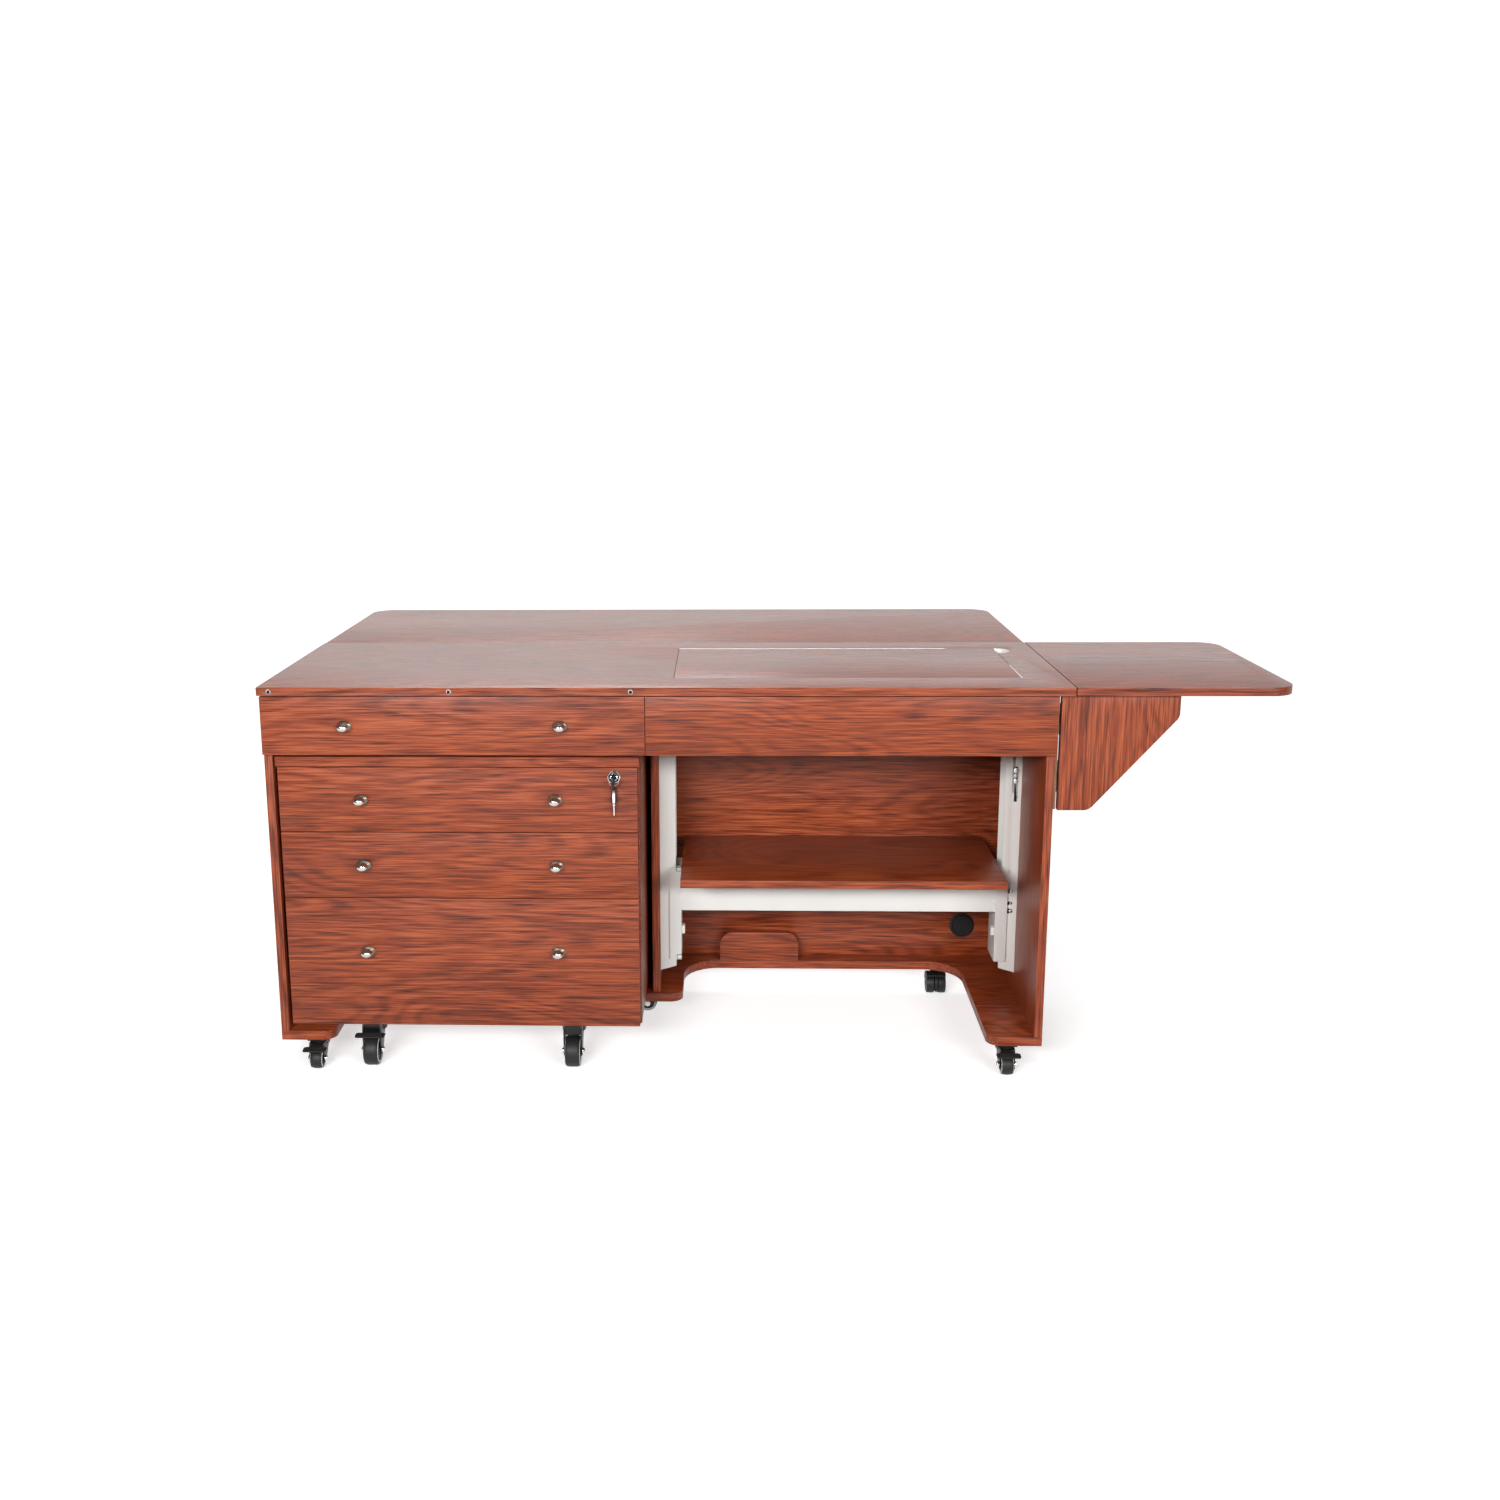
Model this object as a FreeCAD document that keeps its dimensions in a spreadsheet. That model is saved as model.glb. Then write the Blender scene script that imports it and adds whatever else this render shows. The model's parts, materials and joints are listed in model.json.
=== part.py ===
"""Sewing cabinet: a lift table with a back leaf, a side leaf and a roll-out drawer caddy.

+X runs to the right, +Y to the back and +Z up.  The origin is on the floor under the middle of
the whole object.  The driving sizes are in the sheet "Sizes"; the sheet "Places" works out the
faces that several pieces share.
"""
import FreeCAD, Part
import math
import os
import re
import Sketcher

Vec = FreeCAD.Vector
doc = FreeCAD.newDocument("sewing_table")

# ---------------------------------------------------------------- driving sizes, in millimetres
SIZES = [
    ("table_height", 770, "floor to the upper face of the top"),
    ("top_width", 1520, "main top, left to right"),
    ("top_depth", 505, "main top, front to back"),
    ("board", 16, "top, leaves, panels and drawer fronts"),
    ("base_thick", 18, "base board"),
    ("caster_drop", 57, "floor to the underside of the base board"),
    ("leaf_gap", 2, "slit between the top and each leaf"),
    ("side_leaf_width", 402, "right leaf"),
    ("back_leaf_depth", 495, "back leaf"),
    ("back_leaf_inset", 2, "back leaf behind the top's ends"),
    ("leaf_corner", 48, "rounding of the leaves' free corners"),
    ("overhang_left", 2, "top beyond the left side panel"),
    ("overhang_right", 29, "top beyond the right side panel, over the folded bracket"),
    ("overhang_rear", 39, "top beyond the back panel, over the folded stays"),
    ("front_reveal", 2, "drawer fronts behind the top's front edge"),
    ("front_gap", 2, "gaps between fronts and under the top"),
    ("top_drawer_front", 112, "height of the top drawer front and of the apron"),
    ("bay_width", 708, "clear width of the caddy bay"),
    ("partition_set", 212, "lower partition edge behind the side panels' front edge"),
    ("foot_width", 105, "front feet of the base board"),
    ("mid_foot_width", 108, "foot under the partition"),
    ("mid_foot_set", 204, "middle foot behind the base board's front edge"),
    ("strip_depth", 55, "rear strip of the base board"),
    ("foot_corner", 26, "rounding of the feet"),
    ("bay_corner", 75, "rounding inside the bays of the base board"),
    ("insert_left", 778, "top's left end to the lift opening"),
    ("insert_width", 662, "lift opening"),
    ("insert_front", 97, "top's front edge to the lift opening"),
    ("insert_depth", 327, "lift opening"),
    ("insert_clear", 0.8, "slit round the insert panel"),
    ("lip_width", 7, "ledge that the insert panel rests on"),
    ("lip_thick", 5, "ledge that the insert panel rests on"),
    ("notch_radius", 28, "finger notch"),
    ("notch_back", 28.5, "finger notch ahead of the opening's back edge"),
    ("socket_first", 23.5, "top's left end to the first accessory socket"),
    ("socket_pitch", 339, "accessory sockets"),
    ("socket_outer", 4.75, "socket sleeve radius"),
    ("socket_bore", 2.25, "socket bore radius"),
    ("socket_length", 22, "socket sleeve"),
    ("running_clear", 0.05, "shaft in a bore, radial"),
    ("slide_clear", 1, "drawer side to its rail"),
    ("rail_thick", 12, "drawer rail"),
    ("rail_tall", 34, "drawer rail"),
    ("box_board", 12, "drawer box boards"),
    ("box_floor", 5, "drawer box floor"),
    ("top_box_depth", 390, "top drawer box, front to back"),
    ("caddy_box_depth", 374, "caddy drawer boxes, front to back"),
    ("knob_reach", 24, "knob in front of its drawer"),
    ("knob_half_wide", 14, "half the knob's width"),
    ("knob_half_tall", 10.5, "half the knob's height"),
    ("top_knob_spread", 203, "knob to the middle of the top drawer"),
    ("caddy_knob_spread", 186, "knob to the middle of a caddy drawer"),
    ("caddy_side_gap", 4, "caddy to the left side panel"),
    ("caddy_width", 692, "caddy"),
    ("caddy_depth", 418, "caddy"),
    ("caddy_height", 632, "floor to the caddy's top"),
    ("caddy_drop", 90, "floor to the caddy's underside"),
    ("caddy_top_thick", 18, "caddy's top board"),
    ("caddy_front_set", 2, "caddy's fronts behind its top's front edge"),
    ("caddy_front_inset", 3, "caddy's fronts inside its sides"),
    ("upper_front", 126.5, "upper caddy drawer front"),
    ("middle_front", 130, "middle caddy drawer front"),
    ("lower_front", 261, "lower caddy drawer front"),
    ("lower_knob_down", 108, "lower knobs below their front's upper edge"),
    ("lift_rest", 361, "floor to the lowered platform's upper face"),
    ("platform_clear", 3, "platform inside the ledge of the opening"),
    ("upright_wide", 33, "upright's flanges"),
    ("upright_deep", 60, "upright, front to back"),
    ("upright_set", 240, "top's front edge to the uprights"),
    ("upright_foot", 120, "floor to the uprights' lower ends"),
    ("steel", 2, "lift sheet steel"),
    ("carriage_reach", 44, "side face to the carriage's inner web"),
    ("carriage_flange", 24, "carriage flange"),
    ("carriage_clear", 4, "carriage flange to the upright's flange"),
    ("carriage_tall", 199, "carriage"),
    ("rail_drop", 92, "cross rail of the lift, height"),
    ("guard_left", 865, "top's left end to the cord guard"),
    ("guard_width", 172, "cord guard"),
    ("guard_tall", 65, "cord guard"),
    ("guard_corner", 28, "cord guard"),
    ("grommet_in", 77, "cord grommet to the right side panel"),
    ("grommet_up", 72, "cord grommet above the base board"),
    ("grommet_radius", 27, "cord grommet flange"),
    ("grommet_neck", 24, "cord grommet neck"),
    ("grommet_bore", 20, "cord grommet opening"),
    ("bracket_width", 217, "leaf bracket"),
    ("bracket_height", 219, "leaf bracket"),
    ("bracket_edge", 40, "leaf bracket, upright outer edge"),
    ("bracket_foot", 58, "leaf bracket, lower edge"),
    ("bracket_gap", 8, "side panel to the swung-out bracket"),
    ("bracket_under", 3, "leaf to the bracket's upper edge"),
    ("bracket_round", 22, "leaf bracket's lower corners"),
    ("stay_arm", 150, "hinge to the strut's pins"),
    ("stay_drop", 10, "back leaf's hinge below the top's underside"),
    ("stay_first", 250, "top's left end to the first stay"),
    ("stay_pitch", 1000, "stays"),
]

# ---------------------------------------------------------------- shared faces
PLACES = [
    ("left_x", "-(top_width + leaf_gap + side_leaf_width) / 2"),
    ("front_y", "-(front_reveal - knob_reach + top_depth + leaf_gap + back_leaf_depth) / 2"),
    ("under_top", "table_height - board"),
    ("base_top", "caster_drop + base_thick"),
    ("body_left", "left_x + overhang_left"),
    ("body_right", "left_x + top_width - overhang_right"),
    ("panel_front", "front_y + front_reveal + board"),
    ("body_back", "front_y + top_depth - overhang_rear"),
    ("bay_left", "body_left + board"),
    ("part_left", "bay_left + bay_width"),
    ("part_right", "part_left + board"),
    ("inner_right", "body_right - board"),
    ("front_top", "under_top - front_gap"),
    ("front_low", "front_top - top_drawer_front"),
    ("strip_front", "body_back - strip_depth"),
    ("back_face", "body_back - board"),
    ("caddy_left", "bay_left + caddy_side_gap"),
    ("caddy_right", "caddy_left + caddy_width"),
    ("caddy_face", "panel_front + caddy_front_set"),
    ("caddy_back", "panel_front + caddy_depth"),
    ("caddy_under_top", "caddy_height - caddy_top_thick"),
    ("lower_top", "caddy_drop + lower_front"),
    ("middle_low", "lower_top + front_gap"),
    ("middle_top", "middle_low + middle_front"),
    ("upper_low", "middle_top + front_gap"),
    ("upper_top", "upper_low + upper_front"),
    ("open_left", "left_x + insert_left"),
    ("open_right", "open_left + insert_width"),
    ("open_front", "front_y + insert_front"),
    ("open_back", "open_front + insert_depth"),
    ("platform_low", "lift_rest - board"),
    ("upright_front", "front_y + upright_set"),
    ("web_left", "part_right + carriage_reach"),
    ("web_right", "inner_right - carriage_reach"),
]


def make_sheet(name, rows):
    """A spreadsheet with one alias per row."""
    sheet = doc.addObject("Spreadsheet::Sheet", name)
    for row, entry in enumerate(rows, start=1):
        sheet.set(f"A{row}", entry[0])
        sheet.set(f"B{row}", str(entry[1]))
        sheet.setAlias(f"B{row}", entry[0])
    return sheet


HOME = {}


def full(expression):
    """Prefix each alias in an expression with its sheet's name."""
    return re.sub(r"[a-z_]{3,}", lambda word: HOME.get(word.group(), "") + word.group(), str(expression))


for alias, _, _ in SIZES:
    HOME[alias] = "Sizes."
size_sheet = make_sheet("Sizes", SIZES)
place_rows = []
for alias, formula in PLACES:
    place_rows.append((alias, "=" + re.sub(r"[a-z_]{3,}", lambda w: (
        HOME.get(w.group(), "") if HOME.get(w.group()) == "Sizes." else "") + w.group(), formula)))
    HOME[alias] = "Places."
place_sheet = make_sheet("Places", place_rows)
doc.recompute()


def mm(expression):
    """The value of an expression of sheet aliases."""
    return float(size_sheet.evalExpression(full(expression)))


# ---------------------------------------------------------------- building blocks
SUBPARTS = []


def keep(item, label):
    """Name a finished sub-part."""
    item.Label = label
    SUBPARTS.append(item)
    return item


def box(at, size, name="Board"):
    """A box bound to the sheets: its low corner and its sizes are expressions."""
    item = doc.addObject("Part::Box", name)
    for prop, expression in zip(("Length", "Width", "Height"), size):
        item.setExpression(prop, full(expression))
    for axis, expression in zip("xyz", at):
        item.setExpression(f".Placement.Base.{axis}", full(expression))
    return item


def rod(at, radius, length, axis="z", name="Rod"):
    """A cylinder bound to the sheets, from its first end's centre along +axis."""
    item = doc.addObject("Part::Cylinder", name)
    turns = {"x": (Vec(0, 1, 0), 90), "y": (Vec(1, 0, 0), -90), "z": (Vec(0, 0, 1), 0)}
    item.Placement = FreeCAD.Placement(Vec(), FreeCAD.Rotation(*turns[axis]))
    item.setExpression("Radius", full(radius))
    item.setExpression("Height", full(length))
    for name_axis, expression in zip("xyz", at):
        item.setExpression(f".Placement.Base.{name_axis}", full(expression))
    return item


def cut(base, tools, name="Cut"):
    """The base less every tool."""
    item = doc.addObject("Part::Cut", name)
    item.Base = base
    item.Tool = tools[0] if len(tools) == 1 else fuse(tools, "Tools")
    return item


def fuse(pieces, name="Fusion"):
    """Pieces joined into one solid."""
    item = doc.addObject("Part::MultiFuse", name)
    item.Shapes = pieces
    return item


def group(label, pieces):
    """Separate solids that share one node."""
    item = doc.addObject("Part::Compound", "Group")
    item.Links = pieces
    return keep(item, label)


def feature(label, shape, at=(0, 0, 0), turn=0):
    """A sub-part whose shape is made with Part's own functions."""
    item = doc.addObject("Part::Feature", "Piece")
    item.Shape = shape
    item.Placement = FreeCAD.Placement(Vec(*at), FreeCAD.Rotation(Vec(0, 0, 1), turn))
    return keep(item, label)


def outline(body, name, points, lift=None):
    """A sketch on the body's XY plane: a closed outline whose corners are expressions >= 0."""
    sketch = body.newObject("Sketcher::SketchObject", name)
    plane = [item for item in body.Origin.OriginFeatures if item.Role == "XY_Plane"][0]
    sketch.AttachmentSupport = [(plane, "")]
    sketch.MapMode = "FlatFace"
    if lift:
        sketch.setExpression(".AttachmentOffset.Base.z", full(lift))
    corners = [Vec(mm(x), mm(y), 0) for x, y in points]
    count = len(corners)
    for index in range(count):
        line = Part.LineSegment(corners[index], corners[(index + 1) % count])
        sketch.addGeometry(line, False)
    for index in range(count):
        sketch.addConstraint(Sketcher.Constraint("Coincident", index, 2, (index + 1) % count, 1))
    for index, point in enumerate(points):
        for kind, axis_line, expression in (("DistanceX", -2, point[0]), ("DistanceY", -1, point[1])):
            if str(expression) == "0":
                sketch.addConstraint(Sketcher.Constraint("PointOnObject", index, 1, axis_line))
                continue
            number = sketch.addConstraint(Sketcher.Constraint(kind, -1, 1, index, 1, mm(expression)))
            sketch.setExpression(f"Constraints[{number}]", full(expression))
    return sketch


def rectangle(x_low, y_low, x_high, y_high):
    """The four corners of a rectangle."""
    return [(x_low, y_low), (x_high, y_low), (x_high, y_high), (x_low, y_high)]


def slab(name, points, thick, at, upright=False):
    """A body padded from an outline; an upright one stands in the XZ plane, thick towards -Y."""
    body = doc.addObject("PartDesign::Body", name)
    sketch = outline(body, name + "_outline", points)
    pad = body.newObject("PartDesign::Pad", name + "_pad")
    pad.Profile = sketch
    pad.setExpression("Length", full(thick))
    if upright:
        body.Placement = FreeCAD.Placement(Vec(), FreeCAD.Rotation(Vec(1, 0, 0), 90))
    for axis, expression in zip("xyz", at):
        body.setExpression(f".Placement.Base.{axis}", full(expression))
    doc.recompute()
    return body


def pocket(body, name, points, lift=None):
    """Cut an outline upwards through the slab, from its lower face or from a raised plane."""
    before = body.Shape.Volume
    sketch = outline(body, name + "_outline", points, lift)
    item = body.newObject("PartDesign::Pocket", name)
    item.Profile = sketch
    item.Type = 1
    item.Reversed = True
    doc.recompute()
    if body.Shape.Volume >= before:
        raise RuntimeError(f"{name} cut nothing")


def round_corners(body, name, corners, radius):
    """Round the upright edges of a slab that stand over the given corners."""
    base = body.Tip
    wanted = [(mm(x), mm(y)) for x, y in corners]
    edges = []
    for number, edge in enumerate(base.Shape.Edges, start=1):
        start, end = edge.Vertexes[0].Point, edge.Vertexes[-1].Point
        for x, y in wanted:
            if all(math.hypot(point.x - x, point.y - y) < 0.01 for point in (start, end)):
                edges.append(f"Edge{number}")
    if len(edges) != len(wanted):
        raise RuntimeError(f"{name} found {len(edges)} of {len(wanted)} edges")
    item = body.newObject("PartDesign::Fillet", name)
    item.Base = (base, edges)
    item.setExpression("Radius", full(radius))
    doc.recompute()


# ---------------------------------------------------------------- tops and leaves
def make_main_top():
    """Main top with the ledged lift opening, the finger notch and the socket holes."""
    body = slab("top", rectangle("0", "0", "top_width", "top_depth"), "board",
                ("left_x", "front_y", "under_top"))
    right = "insert_left + insert_width"
    back = "insert_front + insert_depth"
    pocket(body, "lift_opening", rectangle("insert_left + lip_width", "insert_front + lip_width",
                                           right + " - lip_width", back + " - lip_width"))
    pocket(body, "insert_rebate", rectangle("insert_left", "insert_front", right, back), "lip_thick")
    tools = [rod(("open_right", "open_back - notch_back", "under_top"), "notch_radius", "board")]
    for index in range(3):
        tools.append(rod((f"left_x + socket_first + {index} * socket_pitch", "front_y",
                          "under_top + board / 2"), "socket_outer", "socket_length", "y"))
    keep(cut(body, tools), "main_top")


def make_insert_panel():
    """Insert panel: its lower step drops inside the ledge, its upper face is flush."""
    upper = box(("open_left + insert_clear", "open_front + insert_clear", "under_top + lip_thick"),
                ("insert_width - 2 * insert_clear", "insert_depth - 2 * insert_clear", "board - lip_thick"))
    inset = "(lip_width + insert_clear)"
    lower = box((f"open_left + {inset}", f"open_front + {inset}", "under_top"),
                (f"insert_width - 2 * {inset}", f"insert_depth - 2 * {inset}", "lip_thick"))
    keep(fuse([upper, lower]), "insert_panel")


def make_leaves():
    """Right leaf and back leaf, with rounded free corners."""
    leaf = slab("side_leaf", rectangle("0", "0", "side_leaf_width", "top_depth"), "board",
                ("left_x + top_width + leaf_gap", "front_y", "under_top"))
    round_corners(leaf, "side_rounding", [("side_leaf_width", "0"), ("side_leaf_width", "top_depth")],
                  "leaf_corner")
    keep(leaf, "right_leaf")
    wide = "top_width - 2 * back_leaf_inset"
    leaf = slab("rear_leaf", rectangle("0", "0", wide, "back_leaf_depth"), "board",
                ("left_x + back_leaf_inset", "front_y + top_depth + leaf_gap", "under_top"))
    round_corners(leaf, "rear_rounding", [("0", "back_leaf_depth"), (wide, "back_leaf_depth")],
                  "leaf_corner")
    keep(leaf, "back_leaf")


def make_sockets():
    """Three metal sleeves in the front edge of the top."""
    outer = mm("socket_outer")
    bore = mm("socket_bore")
    length = mm("socket_length")
    sleeves = []
    for index in range(3):
        start = Vec(mm("left_x + socket_first") + index * mm("socket_pitch"), mm("front_y"),
                    mm("under_top + board / 2"))
        sleeve = Part.makeCylinder(outer, length, start, Vec(0, 1, 0))
        sleeves.append(sleeve.cut(Part.makeCylinder(bore, length, start, Vec(0, 1, 0))))
    feature("accessory_sockets", Part.makeCompound(sleeves))


# ---------------------------------------------------------------- cabinet
def make_panels():
    """Side panels, partition, back panel and apron."""
    tall = "under_top - base_top"
    deep = "body_back - panel_front"
    for label, x in (("left_side_panel", "body_left"), ("right_side_panel", "inner_right")):
        keep(box((x, "panel_front", "base_top"), ("board", deep, tall)), label)
    whole = box(("part_left", "panel_front", "base_top"), ("board", "back_face - panel_front", tall))
    away = box(("part_left", "panel_front", "base_top"),
               ("board", "partition_set", "front_low - base_top"))
    keep(cut(whole, [away]), "partition_panel")
    back = box(("bay_left", "back_face", "base_top"), ("inner_right - bay_left", "board", tall))
    hole = rod(("inner_right - grommet_in", "back_face", "base_top + grommet_up"),
               "grommet_neck", "board", "y")
    keep(cut(back, [hole]), "back_panel")
    keep(box(("part_left + front_gap", "front_y + front_reveal", "front_low"),
             ("body_right - part_left - front_gap", "board", "top_drawer_front")), "front_apron")


def make_base_board():
    """Base board: two front feet, a middle foot and a rear strip round two open bays."""
    wide = "(body_right - body_left)"
    deep = "(body_back - panel_front)"
    bay_deep = f"({deep} - strip_depth)"
    mid_left = "(part_left + board / 2 - mid_foot_width / 2 - body_left)"
    mid_right = f"({mid_left} + mid_foot_width)"
    right_foot = f"({wide} - foot_width)"
    body = slab("base", rectangle("0", "0", wide, deep), "base_thick",
                ("body_left", "panel_front", "caster_drop"))
    pocket(body, "caddy_bay", rectangle("foot_width", "0", mid_left, bay_deep))
    pocket(body, "knee_bay", rectangle(mid_right, "0", right_foot, bay_deep))
    pocket(body, "mid_cut", rectangle(mid_left, "0", mid_right, "mid_foot_set"))
    feet = [("foot_width", "0"), (right_foot, "0"), (mid_left, "mid_foot_set"), (mid_right, "mid_foot_set")]
    round_corners(body, "foot_rounding", feet, "foot_corner")
    bays = [("foot_width", bay_deep), (mid_left, bay_deep), (mid_right, bay_deep), (right_foot, bay_deep)]
    round_corners(body, "bay_rounding", bays, "bay_corner")
    stems = [rod((x, y, "caster_drop"), STEM_RADIUS + mm("running_clear"), STEM_LENGTH + 1)
             for _, x, y, _, _ in CABINET_CASTERS]
    keep(cut(body, stems), "base_board")


def make_cord_fittings():
    """Cord guard on the rear strip, and the grommet through the back panel."""
    guard = slab("guard", rectangle("0", "0", "guard_width", "guard_tall"), "board",
                 ("left_x + guard_left", "strip_front + board", "base_top"), upright=True)
    round_corners(guard, "guard_rounding", [("0", "guard_tall"), ("guard_width", "guard_tall")],
                  "guard_corner")
    keep(guard, "cord_guard")
    centre = ("inner_right - grommet_in", "back_face", "base_top + grommet_up")
    flange = rod((centre[0], centre[1] + " - 3", centre[2]), "grommet_radius", "3", "y")
    neck = rod(centre, "grommet_neck - running_clear", "board", "y")
    bore = rod((centre[0], centre[1] + " - 3", centre[2]), "grommet_bore", "board + 3", "y")
    keep(cut(fuse([flange, neck]), [bore]), "cord_grommet")


# ---------------------------------------------------------------- drawers
def make_drawer(prefix, x_low, x_high, y_front, z_low, deep, tall):
    """A drawer box: two sides, a sub-front, a back and a floor between them."""
    wide = f"({x_high} - ({x_low}))"
    inner = f"{wide} - 2 * box_board"
    pieces = [
        box((x_low, y_front, z_low), ("box_board", deep, tall)),
        box((f"{x_high} - box_board", y_front, z_low), ("box_board", deep, tall)),
        box((f"{x_low} + box_board", y_front, z_low), (inner, "box_board", tall)),
        box((f"{x_low} + box_board", f"{y_front} + {deep} - box_board", z_low),
            (inner, "box_board", tall)),
        box((f"{x_low} + box_board", f"{y_front} + box_board", z_low),
            (inner, f"{deep} - 2 * box_board", "box_floor")),
    ]
    group(prefix + "_box", pieces)


def make_knobs(label, x_middle, spread, y_face, z):
    """Two oval knobs on round necks."""
    knobs = []
    for side in (-1, 1):
        x = f"{x_middle} + {side} * {spread}"
        neck = rod((x, f"{y_face} - knob_reach / 2", z), "5", "knob_reach / 2", "y")
        foot = rod((x, f"{y_face} - 2", z), "8", "2", "y")
        head = doc.addObject("Part::Ellipsoid", "KnobHead")
        head.setExpression("Radius1", full("knob_half_tall"))
        head.setExpression("Radius2", full("knob_half_wide"))
        head.setExpression("Radius3", full("knob_reach / 3"))
        for axis, expression in zip("xyz", (x, f"{y_face} - knob_reach * 2 / 3", z)):
            head.setExpression(f".Placement.Base.{axis}", full(expression))
        knobs.append(fuse([neck, foot, head]))
    group(label, knobs)


def make_top_drawer():
    """Top drawer across the caddy bay, on rails fixed to the side panel and the partition."""
    wide = "(part_left + front_gap / 2 - body_left - front_reveal)"
    keep(box(("body_left + front_reveal", "front_y + front_reveal", "front_low"),
             (wide, "board", "top_drawer_front")), "top_drawer_front")
    side = "rail_thick + slide_clear"
    z_low = "front_low + 14"
    make_drawer("top_drawer", f"bay_left + {side}", f"part_left - ({side})", "panel_front", z_low,
                "top_box_depth", "top_drawer_front - 32")
    make_knobs("top_drawer_knobs", f"body_left + front_reveal + {wide} / 2", "top_knob_spread",
               "front_y + front_reveal", "front_low + top_drawer_front / 2")
    rails = [box((x, "panel_front + 2", f"{z_low} + 22"), ("rail_thick", "top_box_depth - 10", "rail_tall"))
             for x in ("bay_left", "part_left - rail_thick")]
    group("top_drawer_rails", rails)


# name, front's lower edge, front's height, knobs above that edge, height of the box
CADDY_DRAWERS = [
    ("upper_drawer", "upper_low", "upper_front", "upper_front / 2", "upper_front - board - 44"),
    ("middle_drawer", "middle_low", "middle_front", "middle_front / 2", "middle_front - board - 24"),
    ("lower_drawer", "caddy_drop", "lower_front", "lower_front - lower_knob_down",
     "lower_front - board - 24"),
]


def make_caddy():
    """Caddy: carcass boards with drawer rails, and three drawers."""
    sides_y = "caddy_face + board"
    side_deep = f"caddy_back - ({sides_y})"
    inner_low = "caddy_left + board"
    inner_wide = "caddy_width - 2 * board"
    top = box(("caddy_left", "panel_front", "caddy_under_top"),
              ("caddy_width", "caddy_depth", "caddy_top_thick"))
    cam_slot = box(("caddy_right - 75", f"{sides_y} + 3", "caddy_under_top"), ("56", "10", "10"))
    floor = box((inner_low, sides_y, "caddy_drop"), (inner_wide, side_deep, "board"))
    stems = [rod((x, y, "caddy_drop"), STEM_RADIUS + mm("running_clear"), STEM_LENGTH)
             for _, x, y, _, _ in CADDY_CASTERS]
    pieces = [
        cut(top, [cam_slot]),
        box(("caddy_left", sides_y, "caddy_drop"), ("board", side_deep, "caddy_under_top - caddy_drop")),
        box(("caddy_right - board", sides_y, "caddy_drop"),
            ("board", side_deep, "caddy_under_top - caddy_drop")),
        cut(floor, stems),
        box((inner_low, "caddy_back - board", "caddy_drop + board"),
            (inner_wide, "board", "caddy_under_top - caddy_drop - board")),
    ]
    clear = "rail_thick + slide_clear"
    for prefix, z_low, tall, knob_up, box_tall in CADDY_DRAWERS:
        box_low = f"{z_low} + board + 6"
        front = box(("caddy_left + caddy_front_inset", "caddy_face", z_low),
                    ("caddy_width - 2 * caddy_front_inset", "board", tall))
        if prefix == "upper_drawer":
            hole = rod((LOCK_X, "caddy_face", LOCK_Z), LOCK_RADIUS + mm("running_clear"), "board", "y")
            front = cut(front, [hole])
        keep(front, prefix + "_front")
        make_drawer(prefix, f"{inner_low} + {clear}", f"caddy_right - board - ({clear})", sides_y,
                    box_low, "caddy_box_depth", box_tall)
        make_knobs(prefix + "_knobs", "caddy_left + caddy_width / 2", "caddy_knob_spread", "caddy_face",
                   f"{z_low} + {knob_up}")
        for x in (inner_low, "caddy_right - board - rail_thick"):
            pieces.append(box((x, f"{sides_y} + 2", f"{box_low} + 16"),
                              ("rail_thick", "caddy_box_depth - 12", "rail_tall")))
    group("caddy_carcass", pieces)


# ---------------------------------------------------------------- lock and keys
LOCK_X = "caddy_right - 47"
LOCK_Z = "upper_top - 17"
LOCK_RADIUS = 8
CAM_CLEAR = 3
SHANK_RADIUS = 3


def bar(x_low, x_high, y_low, y_high, z_low, z_high):
    """A plain block between two corners."""
    return Part.makeBox(x_high - x_low, y_high - y_low, z_high - z_low, Vec(x_low, y_low, z_low))


def make_lock():
    """Cam lock with its key, and a second key hanging on a ring round the first key's shank."""
    x = mm(LOCK_X)
    z = mm(LOCK_Z)
    face = mm("caddy_face")
    inside = mm("caddy_face + board")
    along = Vec(0, 1, 0)
    barrel = Part.makeCylinder(LOCK_RADIUS, inside - face + 4, Vec(x, face, z), along)
    rose = Part.makeCylinder(LOCK_RADIUS + 3, 2, Vec(x, face - 2, z), along)
    cam = bar(x - 4, mm("caddy_right - board") - CAM_CLEAR, inside + 4, inside + 6.5, z - 4, z + 4)
    cam_hub = Part.makeCylinder(6, 4, Vec(x, inside + 2.5, z), along)
    shank = Part.makeCylinder(SHANK_RADIUS, 18, Vec(x, face - 20, z), along)
    bow = Part.makeCylinder(11, 3, Vec(x - 1.5, face - 27, z), Vec(1, 0, 0))
    bow_hole = Part.makeCylinder(2.5, 3, Vec(x - 1.5, face - 31, z), Vec(1, 0, 0))
    feature("drawer_lock", barrel.multiFuse([rose, cam, cam_hub, shank, bow]).cut(bow_hole))
    ring_radius = 9.5
    wire = 0.8
    ring_y = face - 9
    ring_z = z + SHANK_RADIUS + 0.4 - (ring_radius - wire)
    ring = Part.makeTorus(ring_radius, wire, Vec(x, ring_y, ring_z), along)
    hole_z = ring_z - ring_radius
    head = Part.makeCylinder(8, 2.5, Vec(x - 1.25, ring_y, hole_z - 4), Vec(1, 0, 0))
    hole = Part.makeCylinder(wire + 0.6, 2.5, Vec(x - 1.25, ring_y, hole_z - 0.4), Vec(1, 0, 0))
    blade = bar(x - 1, x + 1, ring_y - 3, ring_y + 3, hole_z - 44, hole_z - 10)
    feature("spare_key", Part.makeCompound([ring, head.fuse(blade).cut(hole)]))


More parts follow.
